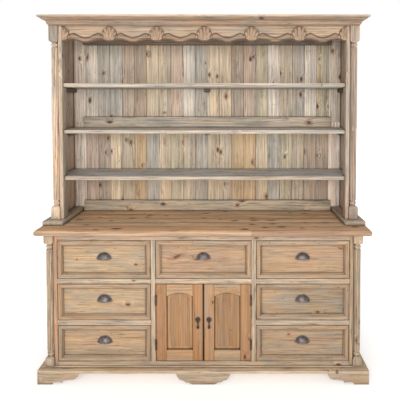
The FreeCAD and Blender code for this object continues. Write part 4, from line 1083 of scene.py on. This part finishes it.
# The slopes are painted shade: darkest on the sides, darker at the top than below.
TOP_SLOPE_SHADE = paint(156, 129, 102, 0.3)
LOW_SLOPE = paint(168, 142, 114, 0.3)
SIDE_SLOPE_SHADE = paint(140, 114, 89, 0.2)
BOARD_LEAST = 0.1
DRAWER_TONES = {"drawer_left_top": STRAW, "drawer_left_middle": STRAW, "drawer_left_bottom": HONEY,
                "drawer_centre": paint(171, 140, 110, 0.2), "drawer_right_top": paint(177, 145, 113, 0.2),
                "drawer_right_middle": paint(165, 138, 107, 0.45), "drawer_right_bottom": TAN}
WEATHERED_DRAWER = "drawer_right_middle"
WEATHERED_END = paint(142, 123, 98, 0.6)
WEATHERED_REACH = 0.1
BOX_WEAR = 0.0006
PULL_WEAR = 0.0005


def dress_drawer(body, board_tone):
    front_low, front_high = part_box(body + "_front")
    right_end = front_high.x - WEATHERED_REACH
    middle_height = (front_low.z + front_high.z) / 2

    def drawer_tone(centre, extent, place):
        on_face = place.y < centre.y - extent.y / 2 + TOUCH
        if extent.z < BOARD_LEAST:
            if on_face:
                return STRIP
            return TOP_SLOPE_SHADE if centre.z > middle_height else LOW_SLOPE
        if extent.x < BOARD_LEAST:
            return SIDE_STRIP if on_face else SIDE_SLOPE_SHADE
        if body == WEATHERED_DRAWER and place.x > right_end:
            return WEATHERED_END
        return board_tone

    dress(body + "_front", choose=drawer_tone)
    dress(body + "_box", width=BOX_WEAR)
    dress(body + "_pull", width=PULL_WEAR)


for body, board_tone in DRAWER_TONES.items():
    dress_drawer(body, board_tone)

# %% [markdown]
# The doors are the warmest wood of the dresser. The right one's meeting stile was cut from a paler board
# and its low rail from a grey one. The arched panels have a raised field, set off by a small step that a
# dark line marks, a painted shadow of the step. The fronts of the edges where the doors meet are painted
# dark, a painted shadow that deepens the gap between them, and a scored line beside them ends it.

# %% Doors
PALE_STILE = paint(170, 130, 92, 0.35)
MEETING_REACH = 0.09
DOOR_RAIL = paint(180, 142, 103, 0.4)
GREY_RAIL = paint(166, 138, 107, 0.55)
DOOR_PANEL = paint(157, 118, 80, 0.2)
PANEL_MARGIN = paint(176, 135, 93, 0.2)
# The step round the raised field is painted dark: a painted shadow of the step.
FIELD_SHADOW_LINE = paint(104, 76, 52, 0.0)
FIELD_LEVEL = -0.2168
FIELD_GROWTH = 0.005
FIELD_EDGE = 0.004
FIELD_RISE = 0.0015
# Painted shadow on the fronts of the meeting edges, which deepens the gap between the doors.
MEETING_EDGE_SHADOW = paint(60, 44, 34, 0.0)
EDGE_SHADOW_WIDTH = 0.0045
EDGE_SHADOW_END = 0.008
DOOR_WEAR = 0.002
PANEL_WEAR = 0.0003
HARDWARE_WEAR = 0.0004
DROP_WEAR = 0.0002
door_low, door_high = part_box("door_right_frame")
door_middle = (door_low.z + door_high.z) / 2


def door_tone(centre, extent, place):
    # Painted shadow along the front of the meeting edges.
    if abs(place.x) < EDGE_SHADOW_WIDTH and place.y < centre.y:
        return MEETING_EDGE_SHADOW
    if extent.x > extent.z:
        return GREY_RAIL if centre.x > 0 and centre.z < door_middle else DOOR_RAIL
    return PALE_STILE if 0 < centre.x < MEETING_REACH else ORANGE


def raise_field(mesh):
    """Widens the panel's flat field and sets it off by a small step."""
    field = [face for face in mesh.faces
             if face.normal.y < FACES_FRONT and face.calc_center_median().y < FIELD_LEVEL]
    field += bmesh.ops.inset_region(mesh, faces=field, thickness=FIELD_GROWTH, use_even_offset=True,
                                    use_boundary=True, use_outset=True)["faces"]
    bmesh.ops.inset_region(mesh, faces=field, thickness=FIELD_EDGE, use_even_offset=True, use_boundary=True)
    raised = {vert for face in field for vert in face.verts}
    bmesh.ops.translate(mesh, verts=list(raised), vec=(0, -FIELD_RISE, 0))


def panel_tone(centre, extent, place):
    if place.y < FIELD_LEVEL - FIELD_RISE / 2:
        return DOOR_PANEL
    # The step gets the painted shadow, the margin outside it the panel's paler tone.
    return FIELD_SHADOW_LINE if place.y < FIELD_LEVEL else PANEL_MARGIN


for hand in ("left", "right"):
    dress("door_%s_frame" % hand, choose=door_tone, width=DOOR_WEAR,
          prepare=lambda mesh: score(mesh, (-EDGE_SHADOW_END, EDGE_SHADOW_END)))
    dress("door_%s_panel" % hand, along=AXES["Z"], choose=panel_tone, width=PANEL_WEAR, prepare=raise_field)
    dress("door_%s_hardware" % hand, width=HARDWARE_WEAR, finish="door_iron")
    dress("door_%s_drop" % hand, width=DROP_WEAR, finish="door_iron")
for name in ("hinge_leaves", "door_catches"):
    dress(name, width=HARDWARE_WEAR, finish="door_iron")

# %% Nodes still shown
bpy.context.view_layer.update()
shown = [node for node, piece in nodes.items() if not piece.hide_render]
print("nodes still shown:", shown)
